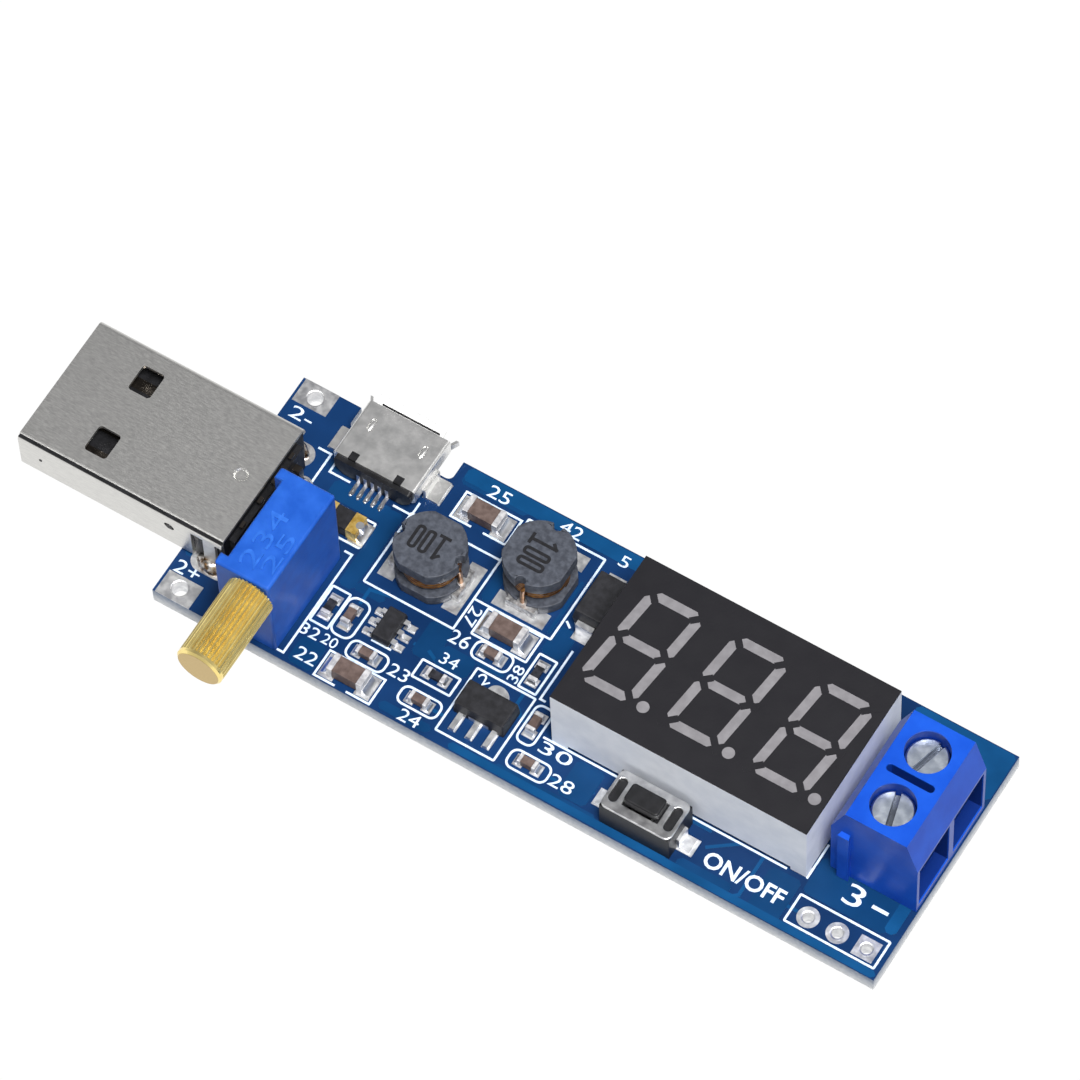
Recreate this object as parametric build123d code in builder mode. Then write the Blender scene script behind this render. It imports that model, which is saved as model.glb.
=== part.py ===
from build123d import *
from math import hypot, pi, radians, tan
import os

os.makedirs("parts", exist_ok=True)

# Buck-boost converter module: a small circuit board that plugs into a USB port.
# X runs along the board to the output terminal, Y across it to the micro-USB
# socket, and Z up. The module stands on the tips of its soldered pins, and the
# origin is on that surface, under the middle of the whole object.
# Places on the board are measured from its left near corner and its top face.

# Board
board_width = 21.8
board_thickness = 1.6
pad_thickness = 0.05
pad_margin = 0.25
stand_off = 1.7

# Plated holes for the input wires, with their square pads
wire_hole_r = 0.7
wire_pad_size = 3.1
wire_pad_depth = 2.15
wire_hole_x = 1.78
wire_hole_inset = 1.15

# Three plated holes for an output header
header_hole_r = 0.5
header_pad_r = 0.9
header_pitch = 2.54
header_count = 3
header_setback = 6.85
header_y = 1.98

# Notch in the far edge, under the mouth of the micro-USB socket
notch_margin = 1.0
notch_depth = 1.9
notch_corner_r = 0.5

# USB-A plug
plug_width = 12.0
plug_height = 4.5
plug_wall = 0.3
plug_corner_r = 0.5
plug_overhang = 14.7
plug_on_board = 4.0
plug_y = 10.06
plug_seam = 0.15
plug_window_length = 2.0
plug_window_width = 2.4
plug_window_offset = 3.1
plug_window_from_mouth = 5.0
plug_dimple_r = 0.6
plug_dimple_depth = 0.15
plug_dimple_inset = 2.0
plug_dimple_slope = 45
plug_leg_width = 1.1
plug_leg_x = 2.8
plug_leg_notch = 1.1
plug_leg_height = 3.7
plug_side_hole_r = 0.3
plug_side_hole_x = -0.85
plug_side_hole_z = 3.0
plug_pad_length = 3.6
plug_pad_width = 2.1

# Black insulator of the plug, with the carrier that holds the contacts
carrier_height = 2.3
carrier_setback = 0.5
plug_block_length = 6.4
plug_block_tail = 0.5
plug_block_tail_height = 3.6
plug_fit = 0.02

# Contacts of the plug: the outer two and the inner two
contact_outer_offset = 3.5
contact_inner_offset = 1.0
contact_width = 1.0
contact_thickness = 0.25
contact_setback = 1.2
contact_pin_x = 5.0
contact_pin_width = 0.6
contact_pad_r = 0.9

# Micro-USB socket
socket_x = 10.0
socket_width = 7.4
socket_height = 2.5
socket_wall = 0.25
socket_corner_cut = 0.95
socket_depth = 5.4
socket_rear_y = board_width - socket_depth
socket_lip_length = 0.65
socket_lip_overhang = 0.5
socket_lip_rise = 0.35
socket_lip_width = 6.0
socket_side_lip_drop = 0.7
socket_foot_reach = 1.3
socket_foot_length = 2.1
socket_foot_inset = 3.25
socket_foot_y = board_width - socket_foot_inset
socket_latch_length = 1.2
socket_latch_width = 0.45
socket_latch_depth = 0.12
socket_latch_offset = 2.35
socket_latch_inset = 2.0
socket_latch_y = board_width - socket_latch_inset
socket_slot_width = 0.7
socket_slot_depth = 0.7
socket_slot_offset = 2.05
socket_block_length = 1.5
socket_block_tail = 0.4
socket_tongue_width = 5.0
socket_tongue_thickness = 0.6
socket_tongue_length = 3.0
socket_tongue_z = 1.25
socket_contact_count = 5
socket_contact_pitch = 0.65
socket_contact_width = 0.3
socket_contact_thickness = 0.12
socket_contact_reach = 1.3

# Trimmer
trimmer_x = 8.55
trimmer_y = 5.18
trimmer_width = 4.9
trimmer_length = 9.54
trimmer_height = 9.9
trimmer_recess = 0.65
trimmer_post = 1.0
trimmer_wall = 1.0
trimmer_edge_r = 0.25
trimmer_pin = 0.5
trimmer_pin_pitch = 2.54
trimmer_seal_depth = 1.2
trimmer_seal_wall = 0.5

# Knurled adjusting screw of the trimmer
knob_length = 7.5
knob_plain_end = 0.45
knob_r = 2.0
knob_x = 9.35
knob_z = 7.85
knob_groove_count = 32
knob_groove_depth = 0.22
knob_groove_share = 0.8
knob_chamfer = 0.2
knob_gap = 0.1
shank_r = 0.8
shank_fit = 0.05
ring_section = 0.5
wiper_travel = 2.3
wiper_length = 2.0
wiper_width = 2.2
wiper_height = 2.3
wiper_fit = 0.1
element_thickness = 0.6
element_width = 2.6

# Drum inductors: (x, y, turn in degrees)
inductor_places = [(17.7, 12.4, 0), (25.3, 16.0, 90)]
inductor_length = 5.8
inductor_width = 5.3
inductor_height = 4.5
inductor_base = 1.1
inductor_flange = 1.25
inductor_core_r = 1.5
inductor_notch_width = 0.85
inductor_notch_depth = 0.55
winding_r = 2.35
winding_turns = 5
winding_groove = 0.12
inductor_end_length = 0.9
inductor_end_width = 2.6
inductor_end_height = 0.9
inductor_end_reach = 0.25
inductor_pad_width = 4.6
inductor_pad_reach = 0.7

# Display
display_left = 33.23
display_near = 4.75
display_length = 22.5
display_width = 14.0
display_x = display_left + display_length / 2
display_y = display_near + display_width / 2
display_height = 7.35
display_foot = 0.4
display_foot_size = 1.4
display_wall = 0.8
display_back_depth = 1.6
display_board_thickness = 1.0
display_pin_count = 6
display_pin_pitch = 2.54
display_pin_span = 10.16
display_pin = 0.5
digit_count = 3
digit_pitch = display_length / digit_count
digit_half_share = 0.2773
digit_half_width = digit_half_share * digit_pitch
digit_half_height = 4.3
digit_slant = 6.6
digit_drop = 0.15
segment_width = 0.8
segment_gap = 0.2
point_r = 0.5
point_share = 0.3653
point_x = point_share * digit_pitch

# Push button switch
switch_x = 42.98
switch_y = 2.5
switch_length = 6.15
switch_width = 3.5
switch_body_height = 2.8
switch_cover_thickness = 0.25
switch_cavity_r = 1.35
switch_cavity_depth = 1.5
switch_stem_r = 0.75
button_length = 3.0
button_width = 1.65
button_rise = 0.9
button_travel = 0.25
button_fit = 0.1
button_corner_r = 0.3
button_edge_r = 0.15
button_free_travel = 0.05
button_cap_gap = 0.1
switch_cover_corner_r = 0.5
switch_cover_hole_x = 2.42
switch_cover_hole_length = 2.2
switch_cover_hole_width = 0.75
dome_thickness = 0.1
dome_rise = 0.4
switch_lead_reach = 1.1
switch_lead_width = 1.3
switch_lead_thickness = 0.25

# Screw terminal block
terminal_pitch = 5.08
terminal_ways = 2
terminal_y = 11.58
terminal_gap = 1.07
terminal_depth = 7.5
terminal_front_x = display_left + display_length + terminal_gap + terminal_depth
terminal_height = 10.1
terminal_chamfer = 1.0
terminal_chamfer_height = 3.3
terminal_back_slope = 1.2
terminal_back_height = 3.1
terminal_screw_setback = 3.65
terminal_head_r = 1.7
terminal_head_hole_r = 1.8
terminal_head_height = 1.6
terminal_head_recess = 1.0
terminal_slot_width = 0.5
terminal_slot_depth = 0.8
terminal_head_chamfer = 0.15
terminal_screw_r = 1.1
terminal_screw_fit = 0.05
terminal_seat_gap = 0.05
terminal_cage_width = 3.5
terminal_cage_length = 3.0
terminal_cage_wall = 0.4
terminal_cage_top = 0.7
terminal_cage_opening = 3.0
terminal_cage_z = 1.1
terminal_cage_gap = 0.1
terminal_travel = 1.6
terminal_bar_thickness = 0.75
terminal_bar_width = 2.2
terminal_pin_width = 1.0
terminal_pin_setback = 6.05
terminal_pin_x = terminal_front_x - terminal_pin_setback
terminal_entry_width = 3.6
terminal_entry_bottom = 1.5
terminal_entry_height = 3.6
terminal_recess_width = 4.4
terminal_recess_bottom = 0.8
terminal_recess_top = 6.5
terminal_recess_depth = 1.2
terminal_groove_width = 0.65
terminal_groove_depth = 1.6
terminal_groove_length = 4.1
terminal_rib_width = 1.0
terminal_rib_neck = 0.75
terminal_rib_depth = 0.45
terminal_rib_height = 7.0
terminal_rib_setback = 0.8
terminal_slot_turns = [15, -15]

# Power diode
diode_x = 30.7
diode_y = 16.1
diode_width = 2.6
diode_length = 4.3
diode_height = 2.2
diode_lift = 0.1
diode_taper = 8
diode_lead_width = 1.5
diode_lead_thickness = 0.2
diode_lead_reach = 0.45
diode_lead_foot = 1.0

# Six-legged converter chip and three-legged regulator
chip_x = 17.6
chip_y = 6.4
chip_width = 1.6
chip_length = 2.9
chip_height = 1.1
chip_pitch = 0.95
chip_lead_reach = 1.0
chip_lead_width = 0.4
chip_taper = 8
lead_step_share = 0.35
lead_thickness = 0.15
chip_lift = 0.1
regulator_x = 27.7
regulator_y = 4.25
regulator_length = 4.5
regulator_width = 2.5
regulator_height = 1.5
regulator_taper = 5
regulator_pitch = 1.5
regulator_lead_width = 0.42
regulator_lead_reach = 1.5
regulator_tab_width = 1.75
regulator_tab_reach = 1.0
regulator_lead_thickness = 0.4

# Meter chip under the board, between the rows of display pins
meter_length = 6.5
meter_width = 4.4
meter_height = 0.9
meter_pitch = 0.65
meter_lead_count = 10
meter_lead_reach = 1.0
meter_lead_width = 0.25

# Ceramic capacitors and resistors: (x, y, turn in degrees)
large_size = (3.2, 1.6, 1.3)
large_far_inset = 3.4
large_between_drop = 0.035
trimmer_far_y = trimmer_y + trimmer_length / 2
socket_contact_end_y = socket_rear_y - socket_block_tail + socket_contact_thickness - socket_contact_reach
large_between_y = (trimmer_far_y + socket_contact_end_y) / 2 - large_between_drop
large_places = [
    (18.75, board_width - large_far_inset, 0),
    (25.5, 10.65, 0),
    (17.1, 1.4, 0),
    (9.6, large_between_y, 0),
]
large_pad_reach = 0.7
large_pad_side = 0.25
small_size = (1.6, 0.8, 0.8)
small_places = [
    (14.4, 5.75, 90),
    (17.25, 3.6, 0),
    (22.85, 2.3, 0),
    (25.5, 8.5, 0),
    (32.8, 2.0, 0),
    (31.45, 5.15, 90),
]
resistor_size = (1.6, 0.8, 0.45)
resistor_places = [(12.6, 5.75, 90), (22.8, 4.8, 0), (29.3, 9.0, 90)]
small_pad_reach = 0.38
small_pad_side = 0.12
end_cap = 0.06
large_end = 0.5
small_end = 0.3
resistor_end = 0.3

# What a pin needs round it in the board, and the solder on it underneath
pin_clearance = 0.1
solder_collar = 0.45
solder_tip = 0.12
solder_short = 0.3
solder_slope = 10

# The board's length, and where it lies in the part's own frame
board_margin = 0.1
board_length = terminal_front_x + board_margin
knob_reach = knob_length + trimmer_length / 2 - trimmer_y
left_edge = (plug_overhang - board_length) / 2
near_edge = (knob_reach - board_width - socket_lip_overhang) / 2
board_top = stand_off + board_thickness
pin_bottom = -board_thickness - stand_off


def at(x, y, z=0.0):
    """A level plane over a point of the board."""
    return Plane((left_edge + x, near_edge + y, board_top + z))


def facing_right(x, y, z=0.0):
    """An upright plane: its own x runs along Y and its own y up."""
    return Plane((left_edge + x, near_edge + y, board_top + z), x_dir=(0, 1, 0), z_dir=(1, 0, 0))


def facing_near(x, y, z=0.0):
    """An upright plane: its own x runs along X and its own y up."""
    return Plane((left_edge + x, near_edge + y, board_top + z), x_dir=(1, 0, 0), z_dir=(0, -1, 0))


def block(x, y, z, mode=Mode.ADD):
    """A square-edged piece between two values on each axis."""
    with BuildSketch(at((x[0] + x[1]) / 2, (y[0] + y[1]) / 2, z[0])) as outline:
        Rectangle(x[1] - x[0], y[1] - y[0])
    extrude(outline.sketch, amount=z[1] - z[0], mode=mode)


def strip_outline(points, thickness):
    """The side view of a metal strip bent along a line of points, mitred at its corners."""
    line = [Vector(*point) for point in points]
    runs = [(end - start).normalized() for start, end in zip(line, line[1:])]
    one_side = []
    other_side = []
    for i, point in enumerate(line):
        before = runs[max(i - 1, 0)]
        after = runs[min(i, len(runs) - 1)]
        across = Vector(-before.Y - after.Y, before.X + after.X).normalized()
        reach = thickness / 2 / across.dot(Vector(-after.Y, after.X))
        one_side.append(point + across * reach)
        other_side.insert(0, point - across * reach)
    return [(point.X, point.Y) for point in one_side + other_side]


def bent_strip(plane, points, thickness, width):
    """A bent metal strip: its side view lies on the plane and its width is centred on it."""
    with BuildSketch(plane) as side:
        with BuildLine():
            Polyline(*strip_outline(points, thickness), close=True)
        make_face()
    extrude(side.sketch, amount=width / 2, both=True)


def finish(name, piece):
    """Names a finished piece and writes it."""
    piece.part.label = name
    export_step(piece.part, f"parts/{name}.step")


# Places worked out from the sizes above
header_x = board_length - header_setback
header_places = [(header_x + i * header_pitch, header_y) for i in range(header_count)]
wire_holes = [(wire_hole_x, wire_hole_inset), (wire_hole_x, board_width - wire_hole_inset)]
contact_offsets = [
    -contact_outer_offset,
    -contact_inner_offset,
    contact_inner_offset,
    contact_outer_offset,
]
plug_pin_places = [(contact_pin_x, plug_y + offset) for offset in contact_offsets]
leg_offset = (plug_width - plug_wall) / 2
leg_places = [(plug_leg_x, plug_y + side * leg_offset) for side in (-1, 1)]
trimmer_pin_places = [(trimmer_x, trimmer_y + i * trimmer_pin_pitch) for i in (-1, 0, 1)]
display_pin_places = [
    (
        display_x + (i - (display_pin_count - 1) / 2) * display_pin_pitch,
        display_y + row * display_pin_span / 2,
    )
    for row in (-1, 1)
    for i in range(display_pin_count)
]
terminal_ways_y = [
    terminal_y + (i - (terminal_ways - 1) / 2) * terminal_pitch for i in range(terminal_ways)
]
terminal_pin_places = [(terminal_pin_x, way_y) for way_y in terminal_ways_y]
socket_mouth_y = board_width + socket_lip_overhang
socket_front_y = socket_mouth_y - socket_lip_length
socket_length = socket_front_y - socket_rear_y

# Each group of soldered pins: places, and the pin's size along X and Y
soldered_pins = [
    (plug_pin_places, contact_thickness, contact_pin_width),
    (trimmer_pin_places, trimmer_pin, trimmer_pin),
    (display_pin_places, display_pin, display_pin),
    (terminal_pin_places, terminal_bar_thickness, terminal_pin_width),
]


def pin_hole_r(size_x, size_y):
    """The radius of a plated hole that a pin of this size passes freely."""
    return hypot(size_x, size_y) / 2 + pin_clearance


def leg_slot_size():
    """The slot in the board for a leg of the plug's shell."""
    return plug_leg_width + 4 * pin_clearance, plug_wall + 2 * pin_clearance


# The board, cut out under the mouth of the micro-USB socket
with BuildPart() as circuit_board:
    with BuildSketch(at(0, 0, -board_thickness)) as board_outline:
        Rectangle(board_length, board_width, align=(Align.MIN, Align.MIN))
        with Locations((socket_x, board_width)):
            Rectangle(
                socket_width + 2 * notch_margin,
                2 * notch_depth,
                mode=Mode.SUBTRACT,
            )
        inner_corners = board_outline.vertices().group_by(Axis.Y)[-2]
        fillet(inner_corners, notch_corner_r)
        with Locations(*wire_holes):
            Circle(wire_hole_r, mode=Mode.SUBTRACT)
        with Locations(*header_places):
            Circle(header_hole_r, mode=Mode.SUBTRACT)
        for places, size_x, size_y in soldered_pins:
            with Locations(*places):
                Circle(pin_hole_r(size_x, size_y), mode=Mode.SUBTRACT)
        with Locations(*leg_places):
            SlotOverall(*leg_slot_size(), mode=Mode.SUBTRACT)
    extrude(amount=board_thickness)
finish("circuit_board", circuit_board)


def pair_of_pads(places, size, end, reach, side):
    """Pads that reach beyond the two soldered ends of each part, and beside them."""
    length, width, _ = size
    inner = end + pad_margin / 2
    for x, y, turn in places:
        with Locations(Location((x, y), turn)):
            with GridLocations(length - inner + reach, 0, 2, 1):
                Rectangle(inner + reach, width + 2 * side)


# Tinned copper pads on the top face
with BuildPart() as board_pads:
    with BuildSketch(at(0, 0, 0)):
        for edge_y, side in ((0, 1), (board_width, -1)):
            with Locations((wire_hole_x, edge_y + side * wire_pad_depth / 2)):
                Rectangle(wire_pad_size, wire_pad_depth)
        with Locations(*wire_holes):
            Circle(wire_hole_r, mode=Mode.SUBTRACT)
        with Locations(*header_places[:-1]):
            Circle(header_pad_r)
        with Locations(header_places[-1]):
            Rectangle(2 * header_pad_r, 2 * header_pad_r)
        with Locations(*header_places):
            Circle(header_hole_r, mode=Mode.SUBTRACT)
        with Locations(*plug_pin_places):
            Circle(contact_pad_r)
            Circle(pin_hole_r(contact_thickness, contact_pin_width), mode=Mode.SUBTRACT)
        with Locations(*leg_places):
            SlotOverall(plug_pad_length, plug_pad_width)
            SlotOverall(*leg_slot_size(), mode=Mode.SUBTRACT)
        for x, y, turn in inductor_places:
            with Locations(Location((x, y), turn)):
                with GridLocations(inductor_length, 0, 2, 1):
                    Rectangle(2 * inductor_pad_reach, inductor_pad_width)
        with Locations((switch_x, switch_y)):
            with GridLocations(switch_length + switch_lead_reach, 0, 2, 1):
                Rectangle(switch_lead_reach + 2 * pad_margin, switch_lead_width + pad_margin)
        with Locations((diode_x, diode_y)):
            with GridLocations(0, diode_length, 1, 2):
                Rectangle(diode_lead_width + pad_margin, 2 * diode_lead_foot)
        with Locations((chip_x, chip_y)):
            with GridLocations(chip_width + chip_lead_reach, chip_pitch, 2, 3):
                Rectangle(chip_lead_reach, chip_lead_width + pad_margin)
        with Locations((regulator_x, regulator_y - (regulator_width + regulator_lead_reach) / 2)):
            with GridLocations(regulator_pitch, 0, 3, 1):
                Rectangle(regulator_lead_width + pad_margin, regulator_lead_reach)
        with Locations((regulator_x, regulator_y + regulator_width / 2)):
            tab_pad_width = regulator_tab_width + pad_margin
            tab_pad_length = 2 * regulator_tab_reach + pad_margin
            SlotOverall(tab_pad_length, tab_pad_width, rotation=90)
        with Locations((socket_x, socket_rear_y - socket_contact_reach / 2 - pad_margin)):
            with GridLocations(socket_contact_pitch, 0, socket_contact_count, 1):
                Rectangle(socket_contact_width, socket_contact_reach)
        with Locations((socket_x, socket_foot_y)):
            with GridLocations(socket_width + socket_foot_reach, 0, 2, 1):
                Rectangle(socket_foot_reach + pad_margin, socket_foot_length)
        pair_of_pads(large_places, large_size, large_end, large_pad_reach, large_pad_side)
        pair_of_pads(small_places, small_size, small_end, small_pad_reach, small_pad_side)
        pair_of_pads(resistor_places, resistor_size, resistor_end, small_pad_reach, small_pad_side)
    extrude(amount=pad_thickness)
finish("board_pads", board_pads)

# Solder cones round the pins and legs, on the underside
solder_height = stand_off - solder_short
with BuildPart() as solder_joints:
    for places, size_x, size_y in soldered_pins:
        top_r = pin_hole_r(size_x, size_y) + solder_collar
        tip_r = hypot(size_x, size_y) / 2 + solder_tip
        for x, y in places:
            with BuildSketch(at(x, y, -board_thickness)):
                Circle(top_r)
                Rectangle(size_x, size_y, mode=Mode.SUBTRACT)
            with BuildSketch(at(x, y, -board_thickness - solder_height)):
                Circle(tip_r)
                Rectangle(size_x, size_y, mode=Mode.SUBTRACT)
            loft()
    for x, y in leg_places:
        with BuildSketch(at(x, y, -board_thickness)):
            SlotOverall(plug_leg_width + 2 * solder_collar, plug_wall + 2 * solder_collar)
        extrude(amount=-solder_height, taper=solder_slope)
        with BuildSketch(at(x, y, -board_thickness)):
            Rectangle(plug_leg_width, plug_wall)
        extrude(amount=-solder_height, mode=Mode.SUBTRACT)
finish("solder_joints", solder_joints)

# Folded shell of the plug: a seam along one edge, two windows above and below,
# and a leg on each side that passes through the board
plug_z = pad_thickness
plug_length = plug_overhang + plug_on_board
plug_window_x = -plug_overhang + plug_window_from_mouth + plug_window_length / 2
with BuildPart() as usb_plug_shell:
    with BuildSketch(facing_right(-plug_overhang, plug_y, plug_z + plug_height / 2)):
        RectangleRounded(plug_width, plug_height, plug_corner_r)
        RectangleRounded(
            plug_width - 2 * plug_wall,
            plug_height - 2 * plug_wall,
            plug_corner_r - plug_wall,
            mode=Mode.SUBTRACT,
        )
    extrude(amount=plug_length)
    with BuildSketch(at(plug_window_x, plug_y, plug_z)):
        with GridLocations(0, 2 * plug_window_offset, 1, 2):
            RectangleRounded(plug_window_length, plug_window_width, plug_wall)
    extrude(amount=plug_height, mode=Mode.SUBTRACT)
    near_side = plug_y - plug_width / 2
    with BuildSketch(at(-plug_overhang, near_side + plug_corner_r / 2, plug_z + plug_height)):
        Rectangle(plug_length, plug_seam, align=(Align.MIN, Align.CENTER))
    extrude(amount=-plug_corner_r, mode=Mode.SUBTRACT)
    with BuildSketch(facing_near(plug_side_hole_x, near_side, plug_side_hole_z)):
        SlotOverall(3 * plug_side_hole_r, 2 * plug_side_hole_r, rotation=-20)
    extrude(amount=-plug_wall, mode=Mode.SUBTRACT)
    with BuildSketch(at(plug_on_board - plug_dimple_inset, plug_y, plug_z + plug_height)):
        Circle(plug_dimple_r)
    extrude(amount=-plug_dimple_depth, taper=plug_dimple_slope, mode=Mode.SUBTRACT)
    leg_start = plug_leg_x - plug_leg_width / 2
    leg_end = plug_leg_x + plug_leg_width / 2
    for side in (-1, 1):
        outer = plug_y + side * plug_width / 2
        inner = outer - side * (plug_wall + plug_corner_r)
        cut_y = (min(outer, inner), max(outer, inner))
        cut_z = (plug_z, plug_z + plug_leg_height)
        block((leg_start - plug_leg_notch, plug_on_board), cut_y, cut_z, Mode.SUBTRACT)
        wall_y = (min(outer, outer - side * plug_wall), max(outer, outer - side * plug_wall))
        block((leg_start, leg_end), wall_y, (pin_bottom, cut_z[1]))
finish("usb_plug_shell", usb_plug_shell)

# Black insulator: a block that closes the rear of the shell, and the carrier
# under the contacts, which leaves the upper half of the mouth open
contact_top = plug_z + plug_wall + carrier_height
contact_low = contact_top - contact_thickness
block_start = plug_on_board - plug_block_length
block_end = plug_on_board + plug_block_tail
inside_width = plug_width - 2 * (plug_wall + plug_fit)
inside_bottom = plug_z + plug_wall
inside_top = plug_z + plug_height - plug_wall
with BuildPart() as usb_plug_insulator:
    half = inside_width / 2
    with BuildSketch(facing_right(block_start, plug_y, (inside_bottom + inside_top) / 2)):
        RectangleRounded(inside_width, inside_top - inside_bottom, plug_corner_r - plug_wall)
    extrude(amount=plug_block_length)
    block_front = usb_plug_insulator.faces().sort_by(Axis.X)[0]
    extrude(block_front, amount=plug_overhang + block_start - carrier_setback)
    block(
        (-plug_overhang, block_start),
        (plug_y - half, plug_y + half),
        (contact_top, inside_top),
        Mode.SUBTRACT,
    )
    tail_half = half - plug_wall - plug_corner_r
    block(
        (block_start, block_end),
        (plug_y - tail_half, plug_y + tail_half),
        (inside_bottom, plug_z + plug_block_tail_height),
    )
    for offset in contact_offsets:
        block(
            (-plug_overhang + contact_setback, block_end),
            (plug_y + offset - contact_width / 2, plug_y + offset + contact_width / 2),
            (contact_low, contact_top),
            Mode.SUBTRACT,
        )
finish("usb_plug_insulator", usb_plug_insulator)

# Four contacts: a strip along the carrier, bent down behind it into the board
with BuildPart() as usb_plug_contacts:
    for offset in contact_offsets:
        y = plug_y + offset
        block(
            (-plug_overhang + contact_setback, block_end),
            (y - contact_width / 2, y + contact_width / 2),
            (contact_low, contact_top),
        )
        middle_z = (contact_low + contact_top) / 2
        bend = [(block_end, middle_z), (contact_pin_x, middle_z), (contact_pin_x, pin_bottom)]
        bent_strip(facing_near(0, y), bend, contact_thickness, contact_pin_width)
finish("usb_plug_contacts", usb_plug_contacts)


def socket_section(inset):
    """The micro-USB section: its two lower corners are cut off."""
    half = socket_width / 2 - inset
    low = inset
    high = socket_height - inset
    cut = socket_corner_cut - inset * (2 - 2 ** 0.5)
    with BuildSketch(facing_near(socket_x, socket_rear_y, pad_thickness)) as section:
        with BuildLine():
            Polyline(
                (cut - half, low),
                (half - cut, low),
                (half, low + cut),
                (half, high),
                (-half, high),
                (-half, low + cut),
                close=True,
            )
        make_face()
        fillet(section.vertices(), socket_wall)
    return section.sketch


# Folded shell of the micro-USB socket, with flared lips and soldered side feet
with BuildPart() as micro_usb_shell:
    extrude(socket_section(0), amount=-socket_length)
    extrude(socket_section(socket_wall), amount=-socket_length, mode=Mode.SUBTRACT)
    socket_top = pad_thickness + socket_height
    with BuildSketch(at(socket_x, socket_latch_y, socket_top)):
        with GridLocations(2 * socket_latch_offset, 0, 2, 1):
            SlotOverall(socket_latch_length, socket_latch_width, rotation=90)
    extrude(amount=-socket_latch_depth, mode=Mode.SUBTRACT)
    with BuildSketch(at(socket_x, socket_rear_y, socket_top)):
        with GridLocations(2 * socket_slot_offset, 0, 2, 1):
            Rectangle(socket_slot_width, 2 * socket_slot_depth)
    extrude(amount=-socket_wall, mode=Mode.SUBTRACT)
    lip_low = socket_wall / 2
    lip_line = [(socket_front_y, -lip_low), (socket_mouth_y, socket_lip_rise - lip_low)]
    for level, way in ((socket_top, 1), (pad_thickness, -1)):
        lip = [(y, level + way * z) for y, z in lip_line]
        width = socket_lip_width if way > 0 else socket_width - 2 * socket_corner_cut - socket_wall
        with BuildSketch(facing_right(socket_x, 0)):
            with BuildLine():
                Polyline(
                    (lip[0][0], lip[0][1] - lip_low),
                    (lip[0][0], lip[0][1] + lip_low),
                    (lip[1][0], lip[1][1] + lip_low),
                    (lip[1][0], lip[1][1] - lip_low),
                    close=True,
                )
            make_face()
        extrude(amount=width / 2, both=True)
    lip_z = (pad_thickness + socket_corner_cut + socket_wall, socket_top - socket_side_lip_drop)
    for side in (-1, 1):
        wall_x = socket_x + side * socket_width / 2
        with BuildSketch(at(0, 0, lip_z[0])):
            with BuildLine():
                Polyline(
                    (wall_x, socket_front_y),
                    (wall_x + side * socket_lip_rise, socket_mouth_y),
                    (wall_x + side * (socket_lip_rise - socket_wall), socket_mouth_y),
                    (wall_x - side * socket_wall, socket_front_y),
                    close=True,
                )
            make_face()
        extrude(amount=lip_z[1] - lip_z[0])
        foot = [
            (wall_x + side * socket_wall / 2, pad_thickness + socket_height / 2),
            (wall_x + side * socket_wall / 2, pad_thickness + socket_wall / 2),
            (wall_x + side * socket_foot_reach, pad_thickness + socket_wall / 2),
        ]
        bent_strip(facing_near(0, socket_foot_y), foot, socket_wall, socket_foot_length)
finish("micro_usb_shell", micro_usb_shell)

# Insulator of the socket: a rear block with two lugs in the shell's slots, and
# the tongue that carries the contacts
tongue_bottom = pad_thickness + socket_tongue_z
tongue_half = socket_tongue_width / 2
with BuildPart() as micro_usb_insulator:
    rear_section = socket_section(socket_wall)
    extrude(rear_section, amount=-socket_block_length)
    extrude(rear_section, amount=socket_block_tail)
    tongue_end = socket_rear_y + socket_block_length + socket_tongue_length
    block(
        (socket_x - tongue_half, socket_x + tongue_half),
        (socket_rear_y, tongue_end),
        (tongue_bottom, tongue_bottom + socket_tongue_thickness),
    )
    with BuildSketch(at(socket_x, socket_rear_y, socket_top - socket_wall)):
        with GridLocations(2 * socket_slot_offset, 0, 2, 1):
            Rectangle(socket_slot_width, socket_slot_depth, align=(Align.CENTER, Align.MIN))
    extrude(amount=socket_wall)
    with BuildSketch(at(socket_x, socket_rear_y - socket_block_tail, 0)):
        with GridLocations(socket_contact_pitch, 0, socket_contact_count, 1):
            Rectangle(
                socket_contact_width,
                socket_block_tail + socket_block_length,
                align=(Align.CENTER, Align.MIN),
            )
    extrude(amount=tongue_bottom, mode=Mode.SUBTRACT)
finish("micro_usb_insulator", micro_usb_insulator)

# Five contacts under the tongue, which step down to feet behind the socket
with BuildPart() as micro_usb_contacts:
    contact_line = tongue_bottom - socket_contact_thickness / 2
    foot_line = pad_thickness + socket_contact_thickness / 2
    tail_y = socket_rear_y - socket_block_tail
    bend = [
        (tongue_end - socket_wall, contact_line),
        (tail_y + socket_contact_thickness / 2, contact_line),
        (tail_y + socket_contact_thickness / 2, foot_line),
        (tail_y + socket_contact_thickness - socket_contact_reach, foot_line),
    ]
    for i in range(socket_contact_count):
        x = socket_x + (i - (socket_contact_count - 1) / 2) * socket_contact_pitch
        bent_strip(facing_right(x, 0), bend, socket_contact_thickness, socket_contact_width)
finish("micro_usb_contacts", micro_usb_contacts)

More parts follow.
